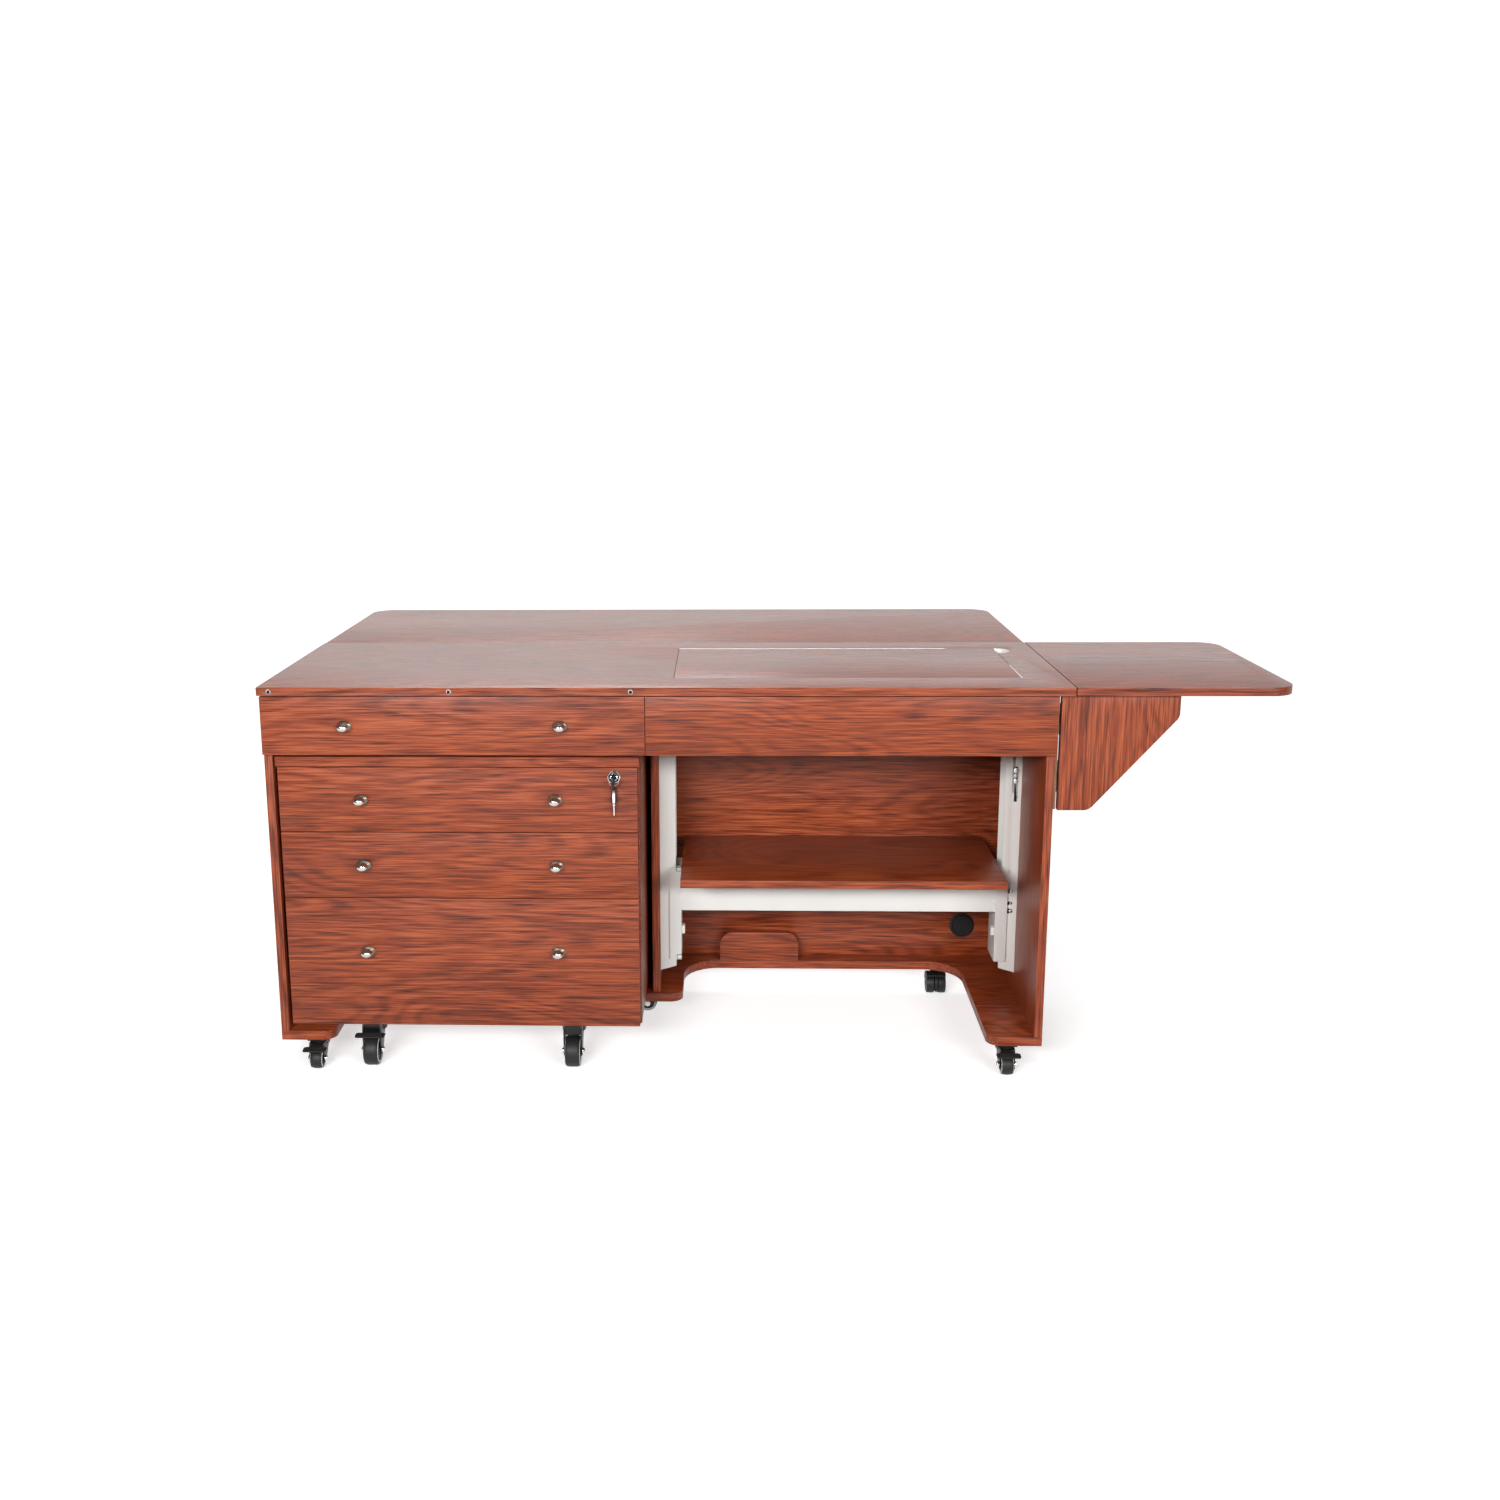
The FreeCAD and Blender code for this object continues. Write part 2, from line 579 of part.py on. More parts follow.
# ---------------------------------------------------------------- lift
def make_lift():
    """Two channel uprights, the welded carriage frame that rides on them, and the platform."""
    steel = mm("steel")
    front = mm("upright_front")
    back = front + mm("upright_deep")
    low = mm("upright_foot")
    high = mm("under_top - 4")
    wide = mm("upright_wide")
    uprights = []
    for face, way in ((mm("part_right"), 1), (mm("inner_right"), -1)):
        def span(near, far):
            return sorted((face + way * near, face + way * far))
        shape = bar(*span(0, steel), front, back, low, high)
        shape = shape.fuse(bar(*span(0, wide), front, front + steel, low, high))
        shape = shape.fuse(bar(*span(0, wide), back - steel, back, low, high))
        slope = Part.makePolygon([Vec(face, front, low), Vec(face + way * wide, front, low),
                                  Vec(face + way * wide, front, low + 10), Vec(face, front, low)])
        shape = shape.cut(Part.Face(slope).extrude(Vec(0, back - front, 0)))
        if way < 0:
            slot_x = face - 16
            shape = shape.cut(bar(slot_x - 3, slot_x + 3, front, front + steel, high - 245, high - 150))
            for drop, radius in ((453, 4), (479, 4), (496, 5.5)):
                hole = Part.makeCylinder(radius, steel, Vec(slot_x, front, high - drop), Vec(0, 1, 0))
                shape = shape.cut(hole)
        uprights.append(shape)
    feature("lift_uprights", Part.makeCompound(uprights))

    clear = mm("carriage_clear")
    flange = mm("carriage_flange")
    top = mm("platform_low")
    bottom = top - mm("carriage_tall")
    near = front - clear - steel
    far = back + clear + steel
    pieces = []
    for web, way in ((mm("web_left"), -1), (mm("web_right"), 1)):
        def reach(start, end):
            return sorted((web + way * start, web + way * end))
        pieces.append(bar(*reach(0, steel), near, far, bottom, top))
        pieces.append(bar(*reach(0, flange), near, near + steel, bottom, top))
        pieces.append(bar(*reach(0, flange), far - steel, far, bottom, top))
        pieces.append(bar(*reach(-7, 0), near + 6, near + 22, bottom + 55, bottom + 72))
        pieces.append(bar(*reach(-20, 0), near, far + 90, top - 20, top - 20 + steel))
        pieces.append(bar(*reach(-20, -18), near, far + 90, top - 20, top))
    left = mm("web_left")
    right = mm("web_right")
    rail_low = top - mm("rail_drop")
    pieces.append(bar(left, right, near + 3, near + 3 + steel, rail_low, top))
    pieces.append(bar(left, right, far - 3 - steel, far - 3, rail_low + 40, top))
    feature("lift_frame", pieces[0].multiFuse(pieces[1:]).removeSplitter())

    inset = "(lip_width + platform_clear)"
    keep(box((f"open_left + {inset}", f"open_front + {inset}", "platform_low"),
             (f"insert_width - 2 * {inset}", f"insert_depth - 2 * {inset}", "board")), "lift_platform")


# ---------------------------------------------------------------- hinges, bracket and stays
PIN_RADIUS = 1.5
KNUCKLE_RADIUS = 3
HINGE_LENGTH = 60
LEAF_PLATE = 24
PLATE_THICK = 1.2
HINGE_AXIS_X = "left_x + top_width + leaf_gap / 2"
BRACKET_PIN_X = "body_right + bracket_gap / 2"
BRACKET_PIN_Y = "panel_front + board - 1"
SIDE_HINGES_Y = ("panel_front + bracket_gap + bracket_width + 17", "front_y + top_depth - 112")
BRACKET_HINGES_UP = (32, 142)


def knuckles(start, along, length, radius):
    """Two fixed knuckles with their pin, and the moving knuckle between them with its bore."""
    third = length / 3
    gap = 0.3
    ends = [Part.makeCylinder(radius, third - gap, start, along),
            Part.makeCylinder(radius, third - gap, start + along * (2 * third + gap), along)]
    pin = Part.makeCylinder(PIN_RADIUS, length, start, along)
    middle = Part.makeCylinder(radius, third, start + along * third, along)
    bore = Part.makeCylinder(PIN_RADIUS + mm("running_clear"), third, start + along * third, along)
    return ends, pin, middle, bore


def make_side_hinges():
    """Hinges under the right leaf and of the leaf bracket: fixed leaves, and both moving sets."""
    fixed = []
    moving = []
    axis_x = mm(HINGE_AXIS_X)
    high = mm("under_top")
    third = HINGE_LENGTH / 3
    for place in SIDE_HINGES_Y:
        y = mm(place)
        ends, pin, middle, bore = knuckles(Vec(axis_x, y, high - KNUCKLE_RADIUS), Vec(0, 1, 0),
                                           HINGE_LENGTH, KNUCKLE_RADIUS)
        plate = bar(axis_x - LEAF_PLATE, axis_x - 3.6, y, y + HINGE_LENGTH, high - PLATE_THICK, high)
        tabs = [bar(axis_x - 4, axis_x, y + start, y + start + third - 0.3, high - PLATE_THICK, high)
                for start in (0, 2 * third + 0.3)]
        fixed.append(plate.multiFuse(ends + tabs + [pin]))
        plate = bar(axis_x + 3.6, axis_x + LEAF_PLATE, y, y + HINGE_LENGTH, high - PLATE_THICK, high)
        tab = bar(axis_x, axis_x + 4, y + third, y + 2 * third, high - PLATE_THICK, high)
        moving.append(plate.multiFuse([tab, middle]).cut(bore))
    feature("right_leaf_hinge_leaves", Part.makeCompound(moving))

    swing = []
    pin_x = mm(BRACKET_PIN_X)
    pin_y = mm(BRACKET_PIN_Y)
    face = mm("body_right")
    bracket_low = mm("under_top - bracket_under - bracket_height")
    for up in BRACKET_HINGES_UP:
        z = bracket_low + up
        ends, pin, middle, bore = knuckles(Vec(pin_x, pin_y, z), Vec(0, 0, 1), HINGE_LENGTH, KNUCKLE_RADIUS)
        plate = bar(face, face + PLATE_THICK, pin_y + 3.6, pin_y + LEAF_PLATE, z, z + HINGE_LENGTH)
        roots = []
        for start in (z, z + 2 * third + 0.3):
            end = start + third - 0.3
            roots.append(bar(face, pin_x - 2, pin_y - 1.5, pin_y + 1.5, start, end))
            roots.append(bar(face, face + PLATE_THICK, pin_y - 1.5, pin_y + 4, start, end))
        fixed.append(plate.multiFuse(ends + roots + [pin]))
        back = mm("panel_front + board")
        plate = bar(pin_x + 3.6, pin_x + LEAF_PLATE, back, back + PLATE_THICK, z, z + HINGE_LENGTH)
        tab = bar(pin_x, pin_x + 4, back, back + PLATE_THICK, z + third, z + 2 * third)
        swing.append(plate.multiFuse([tab, middle]).cut(bore))
    feature("bracket_hinge_leaves", Part.makeCompound(swing))
    feature("cabinet_hinge_leaves", Part.makeCompound(fixed))


def make_bracket():
    """Swing-out wooden bracket under the right leaf, with its lower outer corner cut away."""
    points = [("0", "0"), ("bracket_foot", "0"), ("bracket_width", "bracket_height - bracket_edge"),
              ("bracket_width", "bracket_height"), ("0", "bracket_height")]
    body = slab("bracket", points, "board", ("body_right + bracket_gap", "panel_front + board",
                                            "under_top - bracket_under - bracket_height"), upright=True)
    round_corners(body, "bracket_rounding", points[1:3], "bracket_round")
    keep(body, "leaf_bracket")


STAY_WIDE = 25
STAY_THICK = 3
STAY_EYE = 8
STAY_PIN = 3
STAY_HINGE_Y = "front_y + top_depth + leaf_gap / 2"
STAY_HINGE_Z = "under_top - stay_drop"
STRUT_BACK = 20
STRUT_TIP_DROP = 8


def blade(x_low, thick, points):
    """A plate across X, from its outline in the YZ plane."""
    wire = Part.makePolygon([Vec(x_low, y, z) for y, z in points + points[:1]])
    return Part.Face(wire).extrude(Vec(thick, 0, 0))


def make_stays():
    """Folding stays of the back leaf: wall arm, leaf arm and strut, two sets."""
    clear = mm("running_clear")
    hinge_y = mm(STAY_HINGE_Y)
    hinge_z = mm(STAY_HINGE_Z)
    wall = mm("body_back")
    high = mm("under_top")
    arm = mm("stay_arm")
    foot_y = hinge_y - STRUT_BACK
    foot_z = hinge_z - arm
    tip_y = hinge_y + arm
    tip_z = hinge_z - STRUT_TIP_DROP
    walls = []
    arms = []
    struts = []
    across = Vec(1, 0, 0)
    for index in range(2):
        x = mm("left_x + stay_first") + index * mm("stay_pitch")
        plate = bar(x - STAY_WIDE / 2, x + STAY_WIDE / 2, wall, wall + STAY_THICK, foot_z - 20, hinge_z)
        ear = blade(x, STAY_THICK, [(wall, hinge_z - 30), (hinge_y, hinge_z - STAY_EYE),
                                    (hinge_y, hinge_z + STAY_EYE), (wall, hinge_z + STAY_EYE)])
        eye = Part.makeCylinder(STAY_EYE, STAY_THICK, Vec(x, hinge_y, hinge_z), across)
        pin = Part.makeCylinder(STAY_PIN, 2.3 * STAY_THICK, Vec(x, hinge_y, hinge_z), across)
        low_ear = blade(x, STAY_THICK, [(wall, foot_z - 18), (foot_y, foot_z - STAY_EYE),
                                        (foot_y, foot_z + STAY_EYE), (wall, foot_z + 18)])
        low_eye = Part.makeCylinder(STAY_EYE, STAY_THICK, Vec(x, foot_y, foot_z), across)
        low_pin = Part.makeCylinder(STAY_PIN, 2.3 * STAY_THICK, Vec(x, foot_y, foot_z), across)
        walls.append(plate.multiFuse([ear, eye, pin, low_ear, low_eye, low_pin]).removeSplitter())

        near = x + STAY_THICK + 0.4
        flat = bar(near, near + STAY_WIDE, hinge_y + 4, tip_y + 60, high - STAY_THICK, high)
        lug = blade(near, STAY_THICK, [(hinge_y, hinge_z - STAY_EYE), (hinge_y + 40, high - STAY_THICK),
                                       (hinge_y + 40, high), (hinge_y + 4, high),
                                       (hinge_y, hinge_z + STAY_EYE)])
        lug_eye = Part.makeCylinder(STAY_EYE, STAY_THICK, Vec(near, hinge_y, hinge_z), across)
        bore = Part.makeCylinder(STAY_PIN + clear, STAY_THICK, Vec(near, hinge_y, hinge_z), across)
        arms.append(flat.multiFuse([lug, lug_eye]).cut(bore))

        length = math.hypot(tip_y - foot_y, tip_z - foot_z)
        strut = Part.makeBox(STAY_THICK, length, 2 * STAY_EYE, Vec(0, 0, -STAY_EYE))
        for y in (0, length):
            strut = strut.fuse(Part.makeCylinder(STAY_EYE, STAY_THICK, Vec(0, y, 0), across))
        strut = strut.cut(Part.makeCylinder(STAY_PIN + clear, STAY_THICK, Vec(), across))
        strut.rotate(Vec(), across, math.degrees(math.atan2(tip_z - foot_z, tip_y - foot_y)))
        strut.translate(Vec(near, foot_y, foot_z))
        struts.append(strut)
    feature("stay_wall_arms", Part.makeCompound(walls))
    feature("stay_leaf_arms", Part.makeCompound(arms))
    feature("stay_struts", Part.makeCompound(struts))


# ---------------------------------------------------------------- casters
STEM_RADIUS = 5
STEM_LENGTH = 13
HEAD_GAP = 0.3
AXLE_RADIUS = 3

# name, swivel axis x, swivel axis y, direction of the wheel in degrees from -Y, kind
CABINET_CASTERS = [
    ("front_left_caster", "body_left + 70", "panel_front + 22", 0, "small braked"),
    ("front_right_caster", "body_right - 67", "panel_front + 22", 0, "small braked"),
    ("middle_caster", "part_left + board / 2", "panel_front + mid_foot_set + 94", -90, "small"),
    ("rear_left_caster", "body_left + 151", "body_back - strip_depth / 2", 0, "twin"),
    ("rear_right_caster", "body_right - 151", "body_back - strip_depth / 2", 0, "twin"),
]
CADDY_CASTERS = [
    ("caddy_front_left_caster", "caddy_left + 156", "caddy_face + 44", 0, "large braked"),
    ("caddy_front_right_caster", "caddy_right - 137", "caddy_face + 44", 0, "large"),
    ("caddy_rear_left_caster", "caddy_left + 156", "caddy_face + 315", 0, "large"),
    ("caddy_rear_right_caster", "caddy_right - 137", "caddy_face + 315", 0, "large"),
]
# wheel radius, wheel width, trail, head radius, cheek thickness
CASTER_KINDS = {
    "small": (20, 23, 24, 19, 2.5),
    "large": (31, 29, 28, 24, 3),
    "twin": (22, 17, 15, 10, 6),
}


def caster_fork(height, kind, braked):
    """Swivel head with stem, two cheeks, the axle with its nuts, and a brake's pin."""
    radius, width, trail, head, cheek = CASTER_KINDS[kind]
    top = height - HEAD_GAP
    half = width / 2 + 1
    deck = top - 8
    across = Vec(1, 0, 0)
    pieces = [
        Part.makeCylinder(STEM_RADIUS, STEM_LENGTH - 1, Vec(0, 0, top)),
        Part.makeCylinder(head, 5, Vec(0, 0, top - 5)),
        bar(-half - cheek, half + cheek, -trail + 7, head * 0.7, deck, top - 4),
    ]
    for x in (-half - cheek, half):
        pieces.append(blade(x, cheek, [(head * 0.7, deck), (head * 0.7, top - 4), (-trail - 5, top - 4),
                                       (-trail - 8, deck - 6), (-trail - 8, radius - 7),
                                       (-trail + 8, radius - 7)]))
    reach = half + cheek + 3
    pieces.append(Part.makeCylinder(AXLE_RADIUS, 2 * reach, Vec(-reach, -trail, radius), across))
    for x in (-reach, half + cheek):
        pieces.append(Part.makeCylinder(6, 3, Vec(x, -trail, radius), across))
    if braked:
        pin = pedal_pin(kind)
        pieces.append(Part.makeCylinder(2, 2 * half, Vec(-half, pin.y, pin.z), across))
    return pieces[0].multiFuse(pieces[1:]).removeSplitter()


def caster_wheel(kind):
    """One wheel with a rounded tread, recessed sides, a hub and a bore for the axle."""
    radius, width, trail, _, _ = CASTER_KINDS[kind]
    across = Vec(1, 0, 0)
    centre = Vec(-width / 2, -trail, radius)
    wheel = Part.makeCylinder(radius, width, centre, across)
    rims = [edge for edge in wheel.Edges if abs(edge.Length - 2 * math.pi * radius) < 0.1]
    wheel = wheel.makeFillet(4, rims)
    for x in (-width / 2, width / 2 - 2):
        side = Vec(x, -trail, radius)
        ring = Part.makeCylinder(radius - 6, 2, side, across).cut(Part.makeCylinder(7, 2, side, across))
        wheel = wheel.cut(ring)
    return wheel.cut(Part.makeCylinder(AXLE_RADIUS + mm("running_clear"), width, centre, across))


def twin_fork(height):
    """Furniture caster body: stem, neck, hood over both wheels, web and axle."""
    radius, width, trail, head, web = CASTER_KINDS["twin"]
    top = height - HEAD_GAP
    across = Vec(1, 0, 0)
    half = web / 2 + 1 + width
    axle = Vec(0, -trail, radius)
    outer = Part.makeCylinder(radius + 4, 2 * half, Vec(-half, -trail, radius), across)
    inner = Part.makeCylinder(radius + 1.5, 2 * half, Vec(-half, -trail, radius), across)
    hood = outer.cut(inner).common(bar(-half, half, -trail - 14, radius, radius + 2, 2 * radius + 6))
    disc = Part.makeCylinder(radius + 2, web, Vec(-web / 2, -trail, radius), across)
    disc = disc.common(bar(-web, web, -trail - radius, radius, 8, 3 * radius))
    pieces = [
        Part.makeCylinder(STEM_RADIUS, STEM_LENGTH - 1, Vec(0, 0, top)),
        Part.makeCylinder(head, top - radius - 12, Vec(0, 0, radius + 12)).cut(inner),
        bar(-web / 2, web / 2, -4, 9, radius, top - 4),
        hood,
        disc,
        Part.makeCylinder(AXLE_RADIUS, 2 * half - 10, axle - across * (half - 5), across),
    ]
    return pieces[0].multiFuse(pieces[1:]).removeSplitter()


def twin_wheels():
    """Two dished wheels on one axle, bored from the inside."""
    radius, width, trail, _, web = CASTER_KINDS["twin"]
    across = Vec(1, 0, 0)
    wheels = []
    for side in (-1, 1):
        inner = side * (web / 2 + 1)
        start = Vec(inner if side > 0 else inner - width, -trail, radius)
        wheel = Part.makeCylinder(radius, width, start, across)
        rims = [edge for edge in wheel.Edges if abs(edge.Length - 2 * math.pi * radius) < 0.1]
        wheel = wheel.makeFillet(3, rims)
        bore = Vec(inner if side > 0 else inner - (width - 3), -trail, radius)
        wheels.append(wheel.cut(Part.makeCylinder(AXLE_RADIUS + mm("running_clear"), width - 3,
                                                  bore, across)))
    return Part.makeCompound(wheels)


def pedal_pin(kind):
    """Middle of a brake pedal's pin, from the swivel axis at floor level."""
    radius, _, trail, _, _ = CASTER_KINDS[kind]
    return Vec(0, -trail - 2, 2 * radius + 5)


def brake_pedal(kind):
    """Pedal: a tube on the pin, a neck between the cheeks and a wide plate in front of them."""
    radius, width, trail, _, cheek = CASTER_KINDS[kind]
    pin = pedal_pin(kind)
    half = width / 2 + 0.4
    across = Vec(1, 0, 0)
    tube = Part.makeCylinder(3.6, 2 * half, Vec(-half, pin.y, pin.z), across)
    neck = bar(-half, half, pin.y - 12, pin.y, pin.z, pin.z + 3)
    plate = bar(-width, width, pin.y - 28, pin.y - 10, pin.z, pin.z + 3)
    edges = [edge for edge in plate.Edges
             if edge.BoundBox.ZLength > 1 and edge.BoundBox.YMax < pin.y - 20]
    plate = plate.makeFillet(5, edges)
    bore = Part.makeCylinder(2 + mm("running_clear"), 2 * half, Vec(-half, pin.y, pin.z), across)
    return tube.multiFuse([neck, plate]).cut(bore)


def make_casters():
    """Every caster: its swivel body, its wheel or wheel pair, and a pedal where it has a brake."""
    for casters, height in ((CABINET_CASTERS, mm("caster_drop")), (CADDY_CASTERS, mm("caddy_drop"))):
        for name, x, y, turn, style in casters:
            at = (mm(x), mm(y), 0)
            kind = style.split()[0]
            braked = style.endswith("braked")
            if kind == "twin":
                feature(name + "_body", twin_fork(height), at, turn)
                feature(name + "_wheels", twin_wheels(), at, turn)
                continue
            feature(name + "_fork", caster_fork(height, kind, braked), at, turn)
            feature(name + "_wheel", caster_wheel(kind), at, turn)
            if braked:
                feature(name + "_pedal", brake_pedal(kind), at, turn)


# ---------------------------------------------------------------- assembly and export
make_main_top()
make_insert_panel()
make_leaves()
make_sockets()
make_panels()
make_base_board()
make_cord_fittings()
make_top_drawer()
make_caddy()
make_lock()
make_lift()
make_side_hinges()
make_bracket()
make_stays()
make_casters()
doc.recompute()

for item in doc.Objects:
    if "Invalid" in item.State or "Error" in item.State:
        raise RuntimeError(f"{item.Label} failed: {item.State}")
for item in SUBPARTS:
    if item.Shape.isNull() or not item.Shape.isValid() or item.Shape.Volume <= 0:
        raise RuntimeError(f"{item.Label} has no valid shape")

os.makedirs("parts", exist_ok=True)
for item in SUBPARTS:
    item.Shape.exportStep(f"parts/{item.Label}.step")
print(len(SUBPARTS), "sub-parts written")
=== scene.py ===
"""Sewing cabinet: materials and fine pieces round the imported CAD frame."""
import json
import math
import random

import bmesh
import bpy
from mathutils import Matrix, Vector

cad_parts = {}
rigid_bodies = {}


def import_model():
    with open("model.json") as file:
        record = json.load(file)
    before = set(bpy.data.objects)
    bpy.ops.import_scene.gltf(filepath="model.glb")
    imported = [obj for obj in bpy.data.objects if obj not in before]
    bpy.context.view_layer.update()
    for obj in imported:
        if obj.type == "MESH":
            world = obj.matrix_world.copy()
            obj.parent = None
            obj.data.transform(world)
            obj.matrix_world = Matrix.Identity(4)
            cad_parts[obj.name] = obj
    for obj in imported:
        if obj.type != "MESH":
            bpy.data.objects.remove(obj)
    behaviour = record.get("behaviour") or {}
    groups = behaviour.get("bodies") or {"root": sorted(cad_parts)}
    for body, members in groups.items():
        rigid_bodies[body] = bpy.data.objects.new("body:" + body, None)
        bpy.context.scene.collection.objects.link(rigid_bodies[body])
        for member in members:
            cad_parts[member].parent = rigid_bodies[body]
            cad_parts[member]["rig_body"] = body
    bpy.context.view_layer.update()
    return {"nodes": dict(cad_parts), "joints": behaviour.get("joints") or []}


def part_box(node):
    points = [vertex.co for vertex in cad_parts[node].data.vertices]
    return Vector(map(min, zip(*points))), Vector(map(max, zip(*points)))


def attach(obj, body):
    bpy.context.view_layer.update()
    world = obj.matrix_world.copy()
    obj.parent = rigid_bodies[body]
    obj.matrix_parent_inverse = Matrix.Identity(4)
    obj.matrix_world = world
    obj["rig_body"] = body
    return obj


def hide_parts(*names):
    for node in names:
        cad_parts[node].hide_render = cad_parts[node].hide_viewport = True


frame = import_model()
NODES = frame["nodes"]
MM = 0.001
FLOOR_GLOW, BACK_GLOW = 0.52, 0.92
STUDIO_TONE = (0.80, 0.80, 0.80, 1)
WORLD_STRENGTH = 0.10
WALL_RADIUS, WALL_CENTRE, WALL_LOW, WALL_HIGH, WALL_PANELS = 12, 7, -0.2, 12, 16
# name, place, target, size, power
LIGHTS = (("key_light", (-1.3, -4.2, 1.95), (0, 0, 0.45), (1.8, 0.7), 155),
          ("fill_light", (2.0, -4.4, 1.85), (0, 0, 0.45), (1.8, 0.7), 105),
          ("top_light", (0, 0.6, 3.6), (0, 0, 0.5), (3.0, 2.0), 20),
          ("rear_light", (-1.0, 3.2, 3.6), (0, 0, 0.4), (2.0, 1.0), 60))
CAMERA_AT = (-0.0800, -3.2409, 1.3164)
CAMERA_YAW, CAMERA_PITCH, CAMERA_ROLL = math.radians(2.175), math.radians(12.061), math.radians(-0.416)
LENS, SENSOR, SHIFT = 36.436, 36, (0.0523, -0.0268)
X, Y, Z = Vector((1, 0, 0)), Vector((0, 1, 0)), Vector((0, 0, 1))


# ------------------------------------------------------------------ shader helpers
class Shader:
    """A node material under construction."""

    def __init__(self, name):
        self.material = bpy.data.materials.new(name)
        self.material.use_nodes = True
        self.tree = self.material.node_tree
        self.tree.nodes.clear()

    def add(self, kind, settings=None, **inputs):
        """A node; keyword values go to its input sockets, by name with _ for a space."""
        node = self.tree.nodes.new("ShaderNode" + kind)
        for key, value in (settings or {}).items():
            setattr(node, key, value)
        for key, value in inputs.items():
            name = key.replace("_", " ")
            numbered = name[0] == "i" and name[1:].isdigit()
            socket = node.inputs[int(name[1:]) if numbered else name]
            if isinstance(value, bpy.types.NodeSocket):
                self.tree.links.new(value, socket)
            else:
                socket.default_value = value
        return node

    def math(self, operation, a, b=0.0, clamp=False):
        """One math node's output."""
        return self.add("Math", {"operation": operation, "use_clamp": clamp}, i0=a, i1=b).outputs[0]

    def point(self, grain="x", scale=(1, 1, 1), shift=(0, 0, 0)):
        """Object coordinates in metres, turned so that the grain runs along the first axis."""
        here = self.add("TexCoord").outputs["Object"]
        split = self.add("SeparateXYZ", Vector=here)
        order = {"x": "XYZ", "y": "YXZ", "z": "ZYX"}[grain]
        turned = self.add("CombineXYZ", X=split.outputs[order[0]], Y=split.outputs[order[1]],
                          Z=split.outputs[order[2]])
        return self.add("Mapping", Vector=turned.outputs[0], Location=shift, Scale=scale).outputs[0]

    def noise(self, vector, scale=1.0, detail=2.0, roughness=0.5, distortion=0.0):
        """A noise texture's value."""
        return self.add("TexNoise", Vector=vector, Scale=scale, Detail=detail, Roughness=roughness,
                        Distortion=distortion).outputs[0]

    def spread(self, value, low, high):
        """A value stretched so that low to high becomes 0 to 1, clamped."""
        return self.add("MapRange", Value=value, From_Min=low, From_Max=high).outputs[0]

    def ramp(self, value, *stops):
        """A colour ramp from (position, colour) stops."""
        node = self.add("ValToRGB", Fac=value)
        while len(node.color_ramp.elements) < len(stops):
            node.color_ramp.elements.new(0.5)
        for element, (position, colour) in zip(node.color_ramp.elements, stops):
            element.position = position
            element.color = (*colour, 1)
        return node.outputs[0]

    def bump(self, height, strength, distance):
        """A bump node's normal."""
        return self.add("Bump", Height=height, Strength=strength, Distance=distance).outputs[0]

    def surface(self, **inputs):
        """The Principled surface and the output."""
        shader = self.add("BsdfPrincipled", **inputs)
        output = self.add("OutputMaterial")
        self.tree.links.new(shader.outputs[0], output.inputs[0])
        return self.material


def grey(value):
    return (value, value, value)


# ------------------------------------------------------------------ materials
def wood(name, grain, shift, warmth=0.0, gloss=0.36):
    """Red-brown wood-grain laminate: growth lines, streaks, fine pores and broad shade changes."""
    s = Shader(name)
    offset = tuple(shift)
    field = s.noise(s.point(grain, (1.3, 8, 8), offset), 1.0, 1.4, 0.4, 0.3)
    rings = s.spread(s.math("SINE", s.math("MULTIPLY", field, 130.0)), -1.0, 0.3)
    streak = s.spread(s.noise(s.point(grain, (9, 300, 300), offset), 1.0, 3.0, 0.6), 0.38, 0.62)
    pores = s.spread(s.noise(s.point(grain, (14, 560, 560), offset), 1.0, 1.0, 0.5), 0.30, 0.50)
    broad = s.spread(s.noise(s.point(grain, (1.1, 5.2, 5.2), offset), 1.0, 2.0, 0.5), 0.34, 0.66)
    tone = s.math("MULTIPLY", rings, 0.15)
    tone = s.math("ADD", tone, s.math("MULTIPLY", streak, 0.37))
    tone = s.math("ADD", tone, s.math("MULTIPLY", pores, 0.32))
    tone = s.math("ADD", tone, s.math("MULTIPLY", broad, 0.16))
    cool = s.ramp(tone, (0.14, (0.042, 0.006, 0.002)), (0.42, (0.150, 0.026, 0.009)),
                  (0.66, (0.275, 0.053, 0.019)), (0.94, (0.430, 0.105, 0.045)))
    warm = s.ramp(tone, (0.14, (0.042, 0.005, 0.001)), (0.42, (0.145, 0.020, 0.002)),
                  (0.66, (0.260, 0.038, 0.004)), (0.94, (0.400, 0.078, 0.012)))
    blend = s.math("ADD", s.math("MULTIPLY", broad, 0.4), warmth, clamp=True)
    colour = s.add("MixRGB", Fac=blend, Color1=cool, Color2=warm).outputs[0]
    rough = s.math("ADD", s.math("MULTIPLY", streak, 0.14), gloss - 0.07)
    relief = s.math("ADD", s.math("MULTIPLY", pores, 0.7), s.math("MULTIPLY", streak, 0.5))
    return s.surface(Base_Color=colour, Roughness=rough, IOR=1.43,
                     Normal=s.bump(relief, 0.2, 0.0003))


